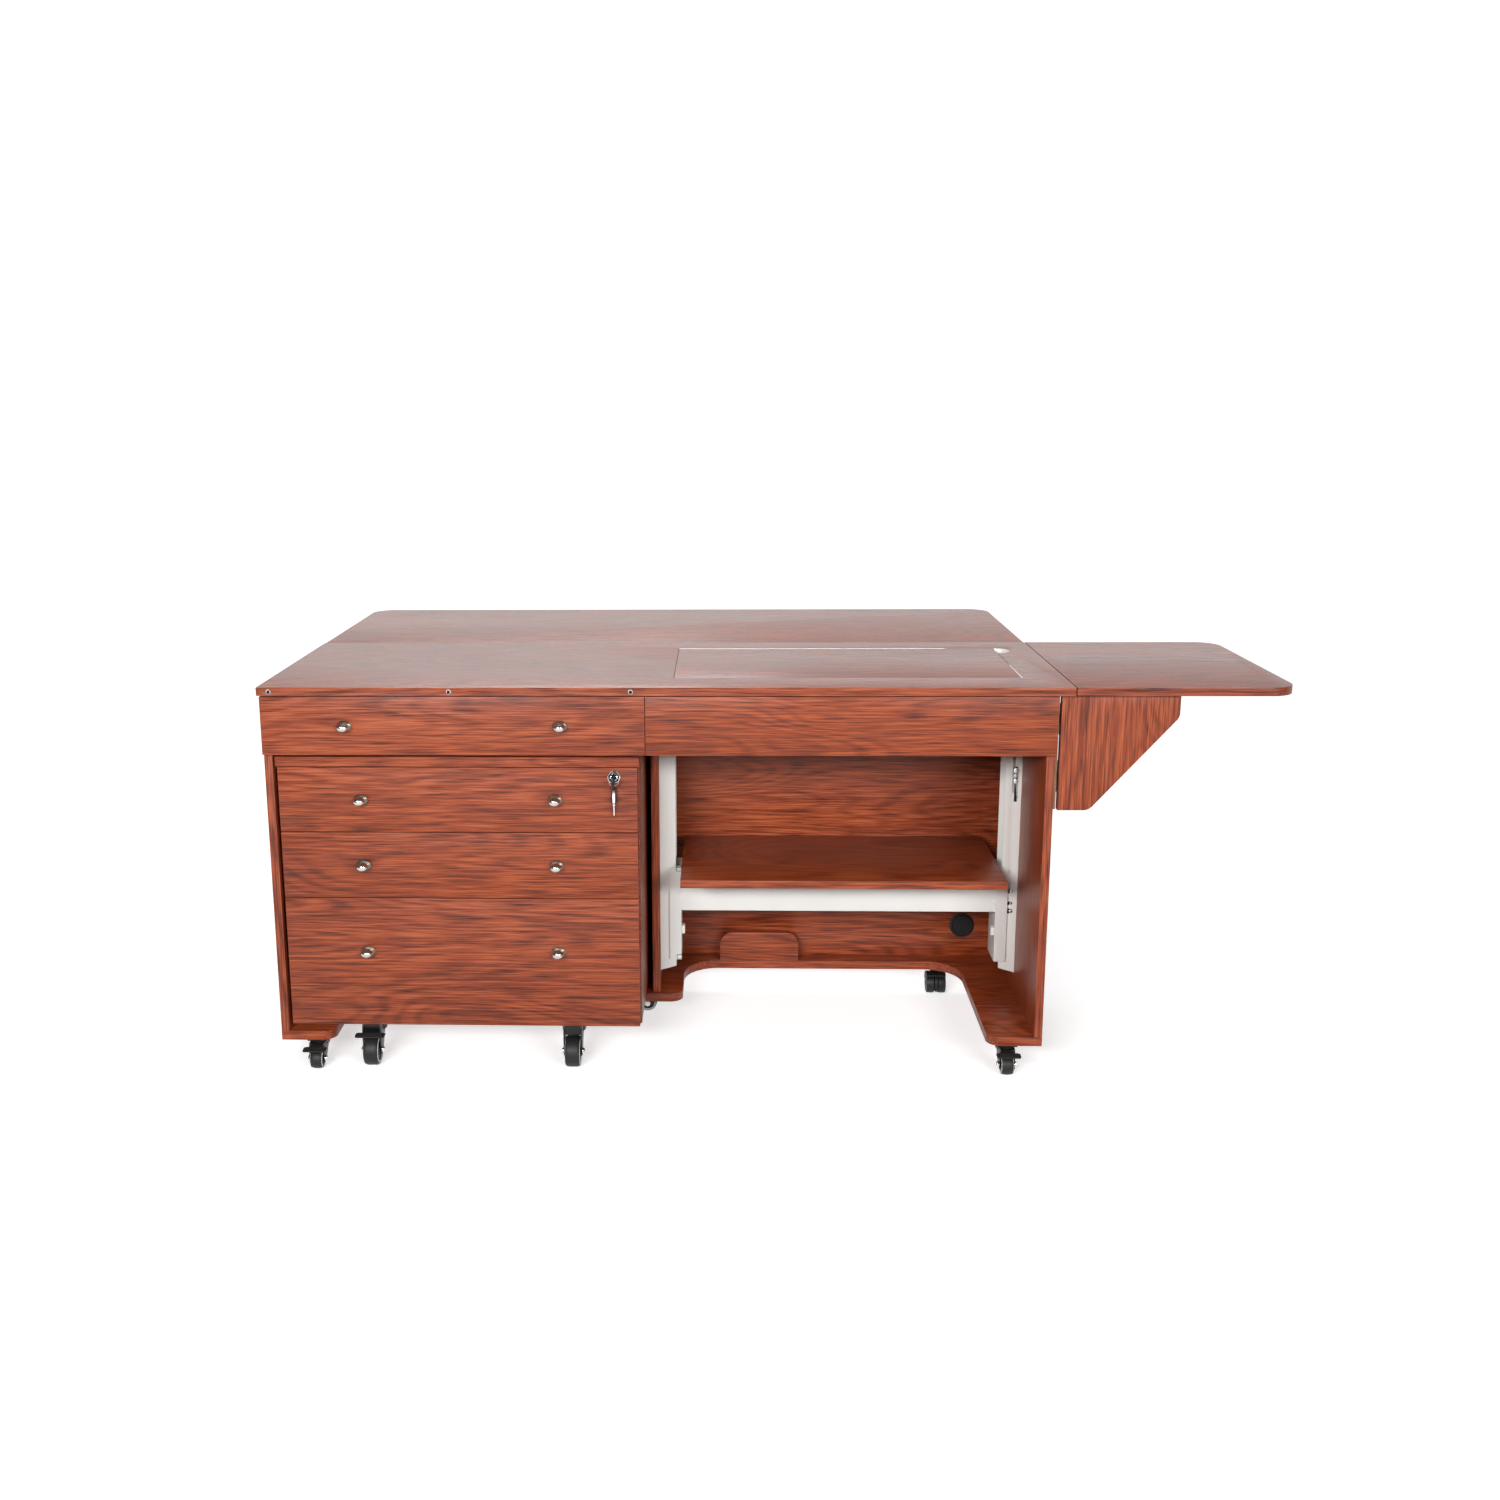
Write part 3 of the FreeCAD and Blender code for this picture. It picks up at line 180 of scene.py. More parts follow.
def plain(name, colour, rough, metallic=0.0, grain_scale=900.0, relief=0.1, depth=0.0002, shade=0.12,
          ior=1.5, coat=0.0):
    """A finish with fine relief and slight changes of shade and gloss."""
    s = Shader(name)
    fine = s.noise(s.point(), grain_scale, 2.0)
    cloud = s.noise(s.point(), 14.0, 3.0)
    mixed = s.math("ADD", s.math("MULTIPLY", cloud, 0.7), s.math("MULTIPLY", fine, 0.3))
    low = tuple(channel * (1 - shade) for channel in colour)
    high = tuple(min(1.0, channel * (1 + shade)) for channel in colour)
    tint = s.ramp(mixed, (0.3, low), (0.7, high))
    gloss = s.math("ADD", s.math("MULTIPLY", mixed, 0.16), rough - 0.08)
    return s.surface(Base_Color=tint, Roughness=gloss, Metallic=metallic, IOR=ior, Coat_Weight=coat,
                     Normal=s.bump(fine, relief, depth))


def brushed(name, colour, rough, along="x"):
    """Metal with fine brush lines."""
    s = Shader(name)
    lines = s.noise(s.point(along, (40, 2600, 2600)), 1.0, 2.0)
    cloud = s.noise(s.point(), 22.0, 2.0)
    low = tuple(channel * 0.82 for channel in colour)
    tint = s.ramp(s.math("ADD", s.math("MULTIPLY", lines, 0.5), s.math("MULTIPLY", cloud, 0.5)),
                  (0.3, low), (0.7, colour))
    gloss = s.math("ADD", s.math("MULTIPLY", lines, 0.2), rough - 0.1)
    return s.surface(Base_Color=tint, Roughness=gloss, Metallic=1.0, Normal=s.bump(lines, 0.12, 0.0001))


def zinc(name):
    """Zinc-plated steel with a faint spangle."""
    s = Shader(name)
    cells = s.add("TexVoronoi", Vector=s.point(), Scale=160.0).outputs["Color"]
    value = s.add("SeparateColor", Color=cells).outputs[0]
    tint = s.ramp(value, (0.0, (0.46, 0.47, 0.48)), (1.0, (0.64, 0.65, 0.66)))
    gloss = s.math("ADD", s.math("MULTIPLY", value, 0.14), 0.26)
    fine = s.noise(s.point(), 700.0, 2.0)
    return s.surface(Base_Color=tint, Roughness=gloss, Metallic=1.0, Normal=s.bump(fine, 0.08, 0.0001))


NICKEL = brushed("brushed_nickel", (0.62, 0.59, 0.54), 0.24)
CHROME = plain("chrome", grey(0.74), 0.14, metallic=1.0, grain_scale=300.0, relief=0.03, shade=0.05)
# A darker nickel for the base ring round each knob's dome.
KNOB_DARK = brushed("dark_nickel", (0.20, 0.17, 0.14), 0.34)
ZINC = zinc("zinc_plate")
CREAM = plain("cream_powder_coat", (0.80, 0.785, 0.75), 0.42, relief=0.25, depth=0.0002, shade=0.03)
BRONZE = plain("brown_plate", (0.17, 0.10, 0.06), 0.36, metallic=0.8, relief=0.08, shade=0.3)
BLACK_PAINT = plain("black_paint", grey(0.008), 0.32, relief=0.12, shade=0.3, ior=1.4)
BLACK_PLASTIC = plain("black_plastic", grey(0.009), 0.46, grain_scale=1400.0, relief=0.3, shade=0.25, ior=1.4)
RUBBER = plain("tread_rubber", grey(0.012), 0.5, grain_scale=500.0, relief=0.3, shade=0.4, ior=1.4)
RIM = plain("rim_plastic", (0.62, 0.62, 0.61), 0.4, relief=0.1, shade=0.06)
# Off-white plastic for the finger cup and the carriage guides; the pale line round the insert uses it as a
# painted highlight.
WHITE_PLASTIC_AND_HIGHLIGHT = plain("white_plastic_and_painted_highlight", (0.82, 0.82, 0.80), 0.38, relief=0.1, shade=0.04)
PALE = plain("pale_laminate", (0.70, 0.68, 0.63), 0.5, grain_scale=350.0, relief=0.3, shade=0.05)
# Near-black felt for the bumper dots and the bracket pad; in the screws' cross recesses and at the bottom of
# the socket bores it is painted shade.
DARK_FELT_AND_SHADE = plain("dark_felt_and_painted_shade", (0.03, 0.02, 0.018), 0.9, grain_scale=1800.0, relief=0.7, depth=0.0005, shade=0.4)


# ------------------------------------------------------------------ mesh helpers
def aim(at, direction, spin=0.0):
    """A matrix at a point whose own Z looks along a direction."""
    turn = Vector(direction).to_track_quat("Z", "Y").to_matrix().to_4x4()
    return Matrix.Translation(at) @ turn @ Matrix.Rotation(spin, 4, "Z")


class Piece:
    """A mesh piece built from several simple forms."""

    def __init__(self, name):
        self.name = name
        self.bm = bmesh.new()
        self.materials = []

    def index(self, material):
        if material not in self.materials:
            self.materials.append(material)
        return self.materials.index(material)

    def paint(self, faces, material):
        number = self.index(material)
        for face in faces:
            face.material_index = number

    def lathe(self, profile, matrix, material, steps=40, stretch=1.0):
        """A turned form: (radius, height) in mm; stretch widens it along its own X."""
        rings = []
        for radius, height in profile:
            if radius == 0:
                rings.append([self.bm.verts.new(matrix @ Vector((0, 0, height * MM)))])
                continue
            ring = []
            for step in range(steps):
                angle = 2 * math.pi * step / steps
                spot = Vector((radius * MM * math.cos(angle) * stretch, radius * MM * math.sin(angle),
                               height * MM))
                ring.append(self.bm.verts.new(matrix @ spot))
            rings.append(ring)
        faces = []
        for low, high in zip(rings, rings[1:]):
            for step in range(steps):
                after = (step + 1) % steps
                corners = [low[step % len(low)], low[after % len(low)], high[after % len(high)],
                           high[step % len(high)]]
                unique = list(dict.fromkeys(corners))
                if len(unique) > 2:
                    faces.append(self.bm.faces.new(unique))
        self.paint(faces, material)
        return self

    def block(self, low, high, material, bevel=0.0, matrix=None):
        """A block between two corners in metres, with rounded edges."""
        made = bmesh.ops.create_cube(self.bm, size=1.0)
        size = [b - a for a, b in zip(low, high)]
        middle = [(a + b) / 2 for a, b in zip(low, high)]
        shape = Matrix.Translation(middle) @ Matrix.Diagonal((*size, 1))
        bmesh.ops.transform(self.bm, matrix=(matrix or Matrix()) @ shape, verts=made["verts"])
        faces = set(face for vert in made["verts"] for face in vert.link_faces)
        if bevel:
            edges = set(edge for vert in made["verts"] for edge in vert.link_edges)
            out = bmesh.ops.bevel(self.bm, geom=list(edges), offset=bevel, segments=2, profile=0.6,
                                  affect="EDGES", clamp_overlap=True)
            faces = set(face for face in faces if face.is_valid) | set(out["faces"])
        self.paint(faces, material)
        return self

    def screw(self, at, direction, radius, material, spin=0.4):
        """A pan-head screw with a cross recess; the recess is a raised near-black cross, painted shade."""
        matrix = aim(at, direction, spin)
        self.lathe([(0, 0), (radius, 0), (radius, radius * 0.18), (radius * 0.82, radius * 0.42),
                    (radius * 0.4, radius * 0.55), (0, radius * 0.58)], matrix, material, 20)
        # The cross recess is drawn as a near-black cross standing slightly proud: painted shade, not a
        # hollow.
        for turn in (0, math.pi / 2):
            arm = matrix @ Matrix.Rotation(turn, 4, "Z")
            reach, half, top = radius * 0.52 * MM, radius * 0.09 * MM, radius * 0.6 * MM
            self.block((-reach, -half, top * 0.7), (reach, half, top), DARK_FELT_AND_SHADE, 0, arm)
        return self

    def sink(self, at, direction, radius, material):
        """A countersunk head, all but flush with its plate."""
        return self.lathe([(radius, -0.2), (radius, 0.04), (radius * 0.9, 0.08), (radius * 0.34, 0.08),
                           (radius * 0.3, -0.15), (0, -0.15)], aim(at, direction), material, 20)

    def tube(self, points, radius, material, sides=12):
        """A round bar through points in metres."""
        rings = []
        for index, point in enumerate(points):
            ahead = Vector(points[min(index + 1, len(points) - 1)]) - Vector(points[max(index - 1, 0)])
            matrix = aim(point, ahead)
            rings.append([self.bm.verts.new(matrix @ Vector((
                radius * math.cos(2 * math.pi * k / sides), radius * math.sin(2 * math.pi * k / sides), 0)))
                for k in range(sides)])
        faces = [self.bm.faces.new(list(reversed(rings[0]))), self.bm.faces.new(rings[-1])]
        for low, high in zip(rings, rings[1:]):
            for k in range(sides):
                after = (k + 1) % sides
                faces.append(self.bm.faces.new((low[k], low[after], high[after], high[k])))
        self.paint(faces, material)
        return self

    def done(self, body, slot, replaces=(), angle=35):
        """Make the object; it rides on a body and may stand for CAD nodes."""
        bmesh.ops.recalc_face_normals(self.bm, faces=self.bm.faces)
        mesh = bpy.data.meshes.new(self.name)
        self.bm.to_mesh(mesh)
        self.bm.free()
        for material in self.materials:
            mesh.materials.append(material)
        mesh.shade_smooth()
        mesh.set_sharp_from_angle(angle=math.radians(angle))
        item = bpy.data.objects.new(self.name, mesh)
        bpy.context.scene.collection.objects.link(item)
        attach(item, body)
        if replaces:
            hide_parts(*replaces)
        return item


def copy_solids(node):
    """The node's separate solids, as bmeshes with flat faces joined."""
    whole = bmesh.new()
    whole.from_mesh(NODES[node].data)
    bmesh.ops.remove_doubles(whole, verts=whole.verts, dist=1e-6)
    left = set(whole.verts)
    parts = []
    while left:
        start = min(left, key=lambda vert: vert.index)
        found, queue = {start}, [start]
        while queue:
            for edge in queue.pop().link_edges:
                for vert in edge.verts:
                    if vert not in found:
                        found.add(vert)
                        queue.append(vert)
        left -= found
        parts.append(found)
    solids = []
    for part in parts:
        solid = bmesh.new()
        twin = {vert: solid.verts.new(vert.co) for vert in part}
        for face in set(face for vert in part for face in vert.link_faces):
            solid.faces.new([twin[vert] for vert in face.verts])
        bmesh.ops.recalc_face_normals(solid, faces=solid.faces)
        bmesh.ops.dissolve_limit(solid, angle_limit=math.radians(0.4), verts=solid.verts, edges=solid.edges)
        solids.append(solid)
    solids.sort(key=lambda solid: tuple(round(c, 4) for c in extent(solid)[0]))
    return solids


def extent(bm):
    """Low and high corners of a bmesh."""
    low = Vector([min(vert.co[k] for vert in bm.verts) for k in range(3)])
    high = Vector([max(vert.co[k] for vert in bm.verts) for k in range(3)])
    return low, high


def soften(bm, width, sharp=50):
    """Round the edges that turn by more than an angle."""
    edges = [edge for edge in bm.edges if len(edge.link_faces) == 2
             and edge.calc_face_angle(0) > math.radians(sharp)]
    bmesh.ops.bevel(bm, geom=edges, offset=width, segments=2, profile=0.6, affect="EDGES",
                    clamp_overlap=True)


def from_bmesh(name, bm, materials, chooser=None):
    """A Piece that holds a finished bmesh; the chooser gives each face's material."""
    piece = Piece(name)
    piece.bm.free()
    piece.bm = bm
    for material in materials:
        piece.index(material)
    for face in bm.faces:
        face.material_index = chooser(face) if chooser else 0
    return piece


def board(node, bm, name, grain, shift, slot="wood_laminate", warmth=0.0, replaces=True, gloss=0.36):
    """A laminated board: softened edges, a sheet finish on its faces and banding round its edges."""
    low, high = extent(bm)
    size = high - low
    thin = min(range(3), key=lambda axis: size[axis])
    soften(bm, 0.0007)
    sheet = wood(name + "_sheet", grain, shift, warmth, gloss)
    bands = {}

    def choose(face):
        if abs(face.normal[thin]) > 0.8:
            return 0
        others = [axis for axis in range(3) if axis != thin and abs(face.normal[axis]) < 0.75]
        run = max(others, key=lambda axis: size[axis]) if others else 0
        return bands.setdefault("xyz"[run], 1 + len(bands))

    choices = [choose(face) for face in bm.faces]
    materials = [sheet]
    for axis in bands:
        materials.append(wood(name + "_band_" + axis, axis, (shift[0] + 3, shift[1] + 1.3, shift[2]),
                              warmth - 0.1, gloss + 0.04))
    for face, choice in zip(bm.faces, choices):
        face.material_index = choice
    piece = Piece(name)
    piece.bm.free()
    piece.bm = bm
    piece.materials = materials
    return piece.done(NODES[node]["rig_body"], slot, (node,) if replaces else ())


# ------------------------------------------------------------------ boards
BOARDS = [
    # node, grain, warmth (a shift toward the warmer, less blue ramp); the front apron's high warmth is
    # painted light, standing for the apron catching less glare than the drawer fronts
    ("main_top", "x", 0.0), ("insert_panel", "x", 0.05), ("right_leaf", "x", 0.0), ("back_leaf", "x", 0.0),
    ("left_side_panel", "z", 0.0), ("right_side_panel", "z", 0.1), ("partition_panel", "z", 0.0),
    ("back_panel", "x", 0.15), ("base_board", "x", 0.1), ("front_apron", "x", 0.45),
    ("cord_guard", "x", 0.2), ("top_drawer_front", "x", -0.05), ("upper_drawer_front", "x", 0.0),
    ("middle_drawer_front", "x", 0.15), ("lower_drawer_front", "x", 0.05), ("leaf_bracket", "z", 0.15),
    ("lift_platform", "x", 0.1),
]


def make_boards():
    for number, (node, grain, warmth) in enumerate(BOARDS):
        shift = (1.37 * number, 0.61 * number, 0.23 * number)
        gloss = 0.30 if node in ("main_top", "insert_panel", "right_leaf", "back_leaf") else 0.38
        board(node, copy_solids(node)[0], node + "_board", grain, shift, warmth=warmth, gloss=gloss)


# ------------------------------------------------------------------ drawer slides and boxes
def slide_members(name, low, high, inward, fixed_body, drawer_body, replaces=()):
    """A telescopic slide in a rail's space: the fixed channel, and the member on the drawer."""
    middle_z = (low.z + high.z) / 2
    wall = low.x if inward > 0 else high.x

    def span(near, far):
        ends = sorted((wall + inward * near * MM, wall + inward * far * MM))
        return ends[0], ends[1]

    outer = Piece(name + "_channel")
    x0, x1 = span(0, 1.4)
    outer.block((x0, low.y, low.z), (x1, high.y, high.z), ZINC, 0.0004)
    x0, x1 = span(0, 10)
    for edge, way in ((low.z, 1), (high.z, -1)):
        z0, z1 = sorted((edge, edge + way * 1.4 * MM))
        outer.block((x0, low.y, z0), (x1, high.y, z1), ZINC, 0.0005)
        lip = sorted((edge, edge + way * 5 * MM))
        l0, l1 = span(8.8, 10)
        outer.block((l0, low.y, lip[0]), (l1, high.y, lip[1]), ZINC, 0.0004)
    for share in (0.12, 0.5, 0.88):
        spot = Vector((span(0, 1.4)[1 if inward > 0 else 0], low.y + (high.y - low.y) * share, middle_z))
        outer.screw(spot, X * inward, 4, ZINC)
    outer.done(fixed_body, "rail_steel", replaces)
    inner = Piece(name + "_member")
    x0, x1 = span(4, 12.6)
    inner.block((x0, low.y + 4 * MM, middle_z - 9 * MM), (x1, high.y - 4 * MM, middle_z + 9 * MM), ZINC,
                0.0018)
    inner.done(drawer_body, "rail_steel")


def make_drawer_insides():
    for drawer in ("top_drawer", "upper_drawer", "middle_drawer", "lower_drawer"):
        node = drawer + "_box"
        for number, solid in enumerate(copy_solids(node)):
            soften(solid, 0.0006)
            piece = from_bmesh(f"{drawer}_board_{number}", solid, [PALE])
            piece.done(drawer, "pale_board", (node,) if number == 0 else ())
        low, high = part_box(node)
        screws = Piece(drawer + "_fixings")
        for x in (low.x + 80 * MM, high.x - 80 * MM):
            for z in (low.z + 18 * MM, high.z - 14 * MM):
                screws.screw((x, low.y + 12 * MM, z), Y, 4, ZINC)
        screws.done(drawer, "rail_steel")
    for number, solid in enumerate(copy_solids("top_drawer_rails")):
        low, high = extent(solid)
        solid.free()
        slide_members(f"top_slide_{number}", low, high, 1 if number == 0 else -1, "cabinet", "top_drawer",
                      ("top_drawer_rails",) if number == 0 else ())


def make_caddy():
    """Caddy boards, and its drawer slides in place of the plain rails."""
    shown = False
    fronts = {name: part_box(name + "_front") for name in ("upper_drawer", "middle_drawer", "lower_drawer")}
    middle = sum((corner.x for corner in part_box("caddy_carcass")), 0.0) / 2
    for number, solid in enumerate(copy_solids("caddy_carcass")):
        low, high = extent(solid)
        size = high - low
        if size.x < 0.013:
            drawer = next(name for name, (a, b) in fronts.items() if a.z < low.z < b.z)
            solid.free()
            slide_members(f"{drawer}_slide_{number}", low, high, 1 if low.x < middle else -1, "caddy", drawer)
            continue
        grain = "z" if size.x < 0.02 else "x"
        board("caddy_carcass", solid, f"caddy_board_{number}", grain, (0.9 * number, 2.2, 0.3 * number),
              warmth=0.0, replaces=not shown)
        shown = True


# ------------------------------------------------------------------ knobs, lock and keys
KNOB_BASE = [(0, 0), (10.2, 0), (10.5, 0.5), (10.5, 1.4), (9.6, 2.4), (6.4, 3.4), (4.8, 5), (4.6, 9),
             (5.6, 11.6), (8.4, 12.8), (9.0, 13.6)]
KNOB_DOME = [(9.0, 13.6), (9.3, 14.4), (9.1, 15.2), (8.5, 15.8), (8.3, 16.6), (7.8, 18.6), (6.7, 20.6),
             (4.9, 22.4), (2.6, 23.6), (0, 24)]


def make_knobs():
    for drawer in ("top_drawer", "upper_drawer", "middle_drawer", "lower_drawer"):
        low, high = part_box(drawer + "_knobs")
        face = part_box(drawer + "_front")[0].y
        half = 14 * MM
        piece = Piece(drawer + "_oval_knobs")
        for x in (low.x + half, high.x - half):
            matrix = aim((x, face, (low.z + high.z) / 2), -Y)
            piece.lathe(KNOB_BASE, matrix, KNOB_DARK, 48, 14 / 10.5)
            piece.lathe(KNOB_DOME, matrix, NICKEL, 48, 14 / 10.5)
        bmesh.ops.remove_doubles(piece.bm, verts=piece.bm.verts, dist=1e-6)
        piece.done(drawer, "knob_nickel", (drawer + "_knobs",))


def key_blade(piece, matrix, length, width, thick, material):
    """A cut key blade along its own X, with teeth on one edge."""
    random.seed(7)
    steps = 9
    top = [(length * k / steps, width * (0.5 - (0.32 if k % 2 else 0.06) * random.uniform(0.6, 1))) for k
           in range(steps + 1)]
    outline = [(0, -width / 2), (length - 2, -width / 2), (length, 0)] + top[:-1][::-1]
    for side in (-1, 1):
        verts = [piece.bm.verts.new(matrix @ (Vector((x, y, side * thick / 2)) * MM)) for x, y in outline]
        face = piece.bm.faces.new(verts if side > 0 else verts[::-1])
        piece.paint([face], material)
        if side < 0:
            under = verts
    for k in range(len(outline)):
        after = (k + 1) % len(outline)
        face = piece.bm.faces.new((under[k], under[after], verts[after], verts[k]))
        piece.paint([face], material)


def make_lock():
    """Rosette, barrel, cam and key; the second key hangs from a ring round the first key's shank."""
    low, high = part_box("drawer_lock")
    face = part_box("upper_drawer_front")[0].y
    axis = Vector((low.x + 11 * MM, face, high.z - 11 * MM))
    lock = Piece("cam_lock")
    out = aim(axis, -Y)
    lock.lathe([(9.6, 1.0), (10.0, 2.4), (11.0, 2.9), (12.0, 2.2), (12.3, 0.8), (12.2, 0)], out, CHROME, 48)
    lock.lathe([(0, 0.2), (11.6, 0.2), (11.6, 0.6), (9.6, 1.0), (8.2, 1.2), (7.9, 2.6), (6.6, 3.0),
                (3.8, 3.0), (3.4, 1.6), (0, 1.6)], out, BLACK_PAINT, 48)
    lock.lathe([(7.2, 2.9), (7.0, 3.3), (6.2, 3.3), (6.0, 2.9)], out, CHROME, 40)
    lock.lathe([(8, 0), (8, 19), (7.2, 20), (0, 20)], aim(axis, Y), ZINC, 32)
    lock.lathe([(6, 0), (6, 3.4), (5.4, 4), (0, 4)], aim(axis + Y * 20 * MM, Y), ZINC, 6)
    lock.block(axis + Vector((-5, 20.4, -4)) * MM, axis + Vector((28, 22.6, 4)) * MM, ZINC, 0.0006)
    lock.block(axis + Vector((-1.1, -17, -3)) * MM, axis + Vector((1.1, -1, 3)) * MM, NICKEL, 0.0003)
    bow = aim(axis + Vector((-2.8, -26.5, 0)) * MM, X)
    lock.lathe([(2.4, 0), (10.0, 0), (11.2, 1.2), (11.4, 2.8),
                (11.2, 4.4), (10.0, 5.6), (2.4, 5.6), (2.4, 0)],
               bow, BLACK_PLASTIC, 40)
    lock.block(axis + Vector((-2.6, -18.5, -5.5)) * MM, axis + Vector((2.6, -12, 5.5)) * MM, BLACK_PLASTIC,
               0.001)
    lock.done("lock", "bright_metal", ("drawer_lock",))

    ring_low, ring_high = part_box("spare_key")
    ring_y = (ring_low.y + ring_high.y) / 2
    centre = Vector((axis.x, ring_y, ring_high.z - 10.3 * MM))
    key = Piece("spare_key_and_ring")
    turns = []
    for step in range(75):
        angle = 2 * math.pi * step / 36
        spot = Vector((9.5 * math.sin(angle), -0.7 + 1.4 * step / 74, 9.5 * math.cos(angle)))
        turns.append(centre + spot * MM)
    key.tube(turns, 0.0007, CHROME, 10)
    eye = Vector((axis.x, ring_y, centre.z - 12.2 * MM))
    key.lathe([(1.7, -1.5), (4.2, -1.5), (4.6, -1.0), (4.6, 1.0), (4.2, 1.5), (1.7, 1.5), (1.7, -1.5)],
              aim(eye, X), BLACK_PLASTIC, 32)
    key.block(eye + Vector((-4.7, -5.4, -33)) * MM, eye + Vector((4.7, 5.4, -3.6)) * MM,
              BLACK_PLASTIC, 0.0024)
    key.block(eye + Vector((-1.9, -3.6, -36)) * MM, eye + Vector((1.9, 3.6, -32)) * MM, NICKEL, 0.0006)
    down = Matrix.Translation(eye + Vector((0, 0, -35)) * MM) @ Matrix(
        ((0, 0, 1, 0), (0, 1, 0, 0), (-1, 0, 0, 0), (0, 0, 0, 1)))
    key_blade(key, down, 22, 6, 2.0, NICKEL)
    key.done("hanging_key", "bright_metal", ("spare_key",))


# ------------------------------------------------------------------ small fittings of the top
def make_top_fittings():
    """Socket rims, the white cup in the finger notch and the pale line round the insert; the line is a
    painted highlight along the insert's edge.
    """
    rims = Piece("socket_rims")
    for solid in copy_solids("accessory_sockets"):
        low, high = extent(solid)
        solid.free()
        at = Vector(((low.x + high.x) / 2, low.y, (low.z + high.z) / 2))
        rims.lathe([(2.9, -2.4), (2.9, 0.1), (3.3, 0.7), (4.2, 0.8), (4.7, 0.4), (4.7, -21)], aim(at, -Y),
                   CHROME, 36)
        # A near-black disc 4 mm down each bore is painted shade standing for the deep hole.
        rims.lathe([(0, -4), (2.2, -4), (2.9, -2.4)], aim(at, -Y), DARK_FELT_AND_SHADE, 36)
    rims.done("cabinet", "bright_metal", ("accessory_sockets",))

    top_low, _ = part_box("main_top")
    insert_low, insert_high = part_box("insert_panel")
    radius = 27.9
    notch = Vector((insert_high.x + 0.8 * MM, insert_high.y + 0.8 * MM - 28.5 * MM, top_low.z))
    cup = Piece("finger_cup")
    steps = 36
    profile = [(0, 1.0), (0, 2.6), (radius - 3.4, 2.6), (radius - 1.8, 4.0), (radius - 1.5, 15.6),
               (radius - 1.2, 16.3), (radius, 16.3), (radius, 1.0)]
    rows = []
    for step in range(steps + 1):
        angle = -math.pi / 2 + math.pi * step / steps
        across, along = math.cos(angle), math.sin(angle)
        rows.append([cup.bm.verts.new(notch + Vector((r * across + 0.5, r * along, h)) * MM)
                     for r, h in profile])
    faces = []
    for row, after in zip(rows, rows[1:]):
        for k in range(len(profile)):
            nxt = (k + 1) % len(profile)
            faces.append(cup.bm.faces.new((row[k], row[nxt], after[nxt], after[k])))
    faces.append(cup.bm.faces.new(rows[0][::-1]))
    faces.append(cup.bm.faces.new(rows[-1]))
    cup.paint(faces, WHITE_PLASTIC_AND_HIGHLIGHT)
    bmesh.ops.remove_doubles(cup.bm, verts=cup.bm.verts, dist=1e-6)
    cup.done("cabinet", "pale_board")

    # A pale strip along the insert's back edge and part of its right edge is a painted highlight, the light
    # caught by that edge.
    line = Piece("insert_painted_highlight_line")
    z0, z1 = insert_high.z - 0.6 * MM, insert_high.z + 0.9 * MM
    a, b = insert_low, insert_high
    line.block((a.x, b.y - 2.4 * MM, z0), (b.x - 100 * MM, b.y + 0.4 * MM, z1), WHITE_PLASTIC_AND_HIGHLIGHT, 0.0002)
    line.block((b.x - 1.8 * MM, a.y, z0), (b.x + 0.3 * MM, a.y + 130 * MM, z1), WHITE_PLASTIC_AND_HIGHLIGHT, 0.0002)
    line.done("insert", "pale_board")


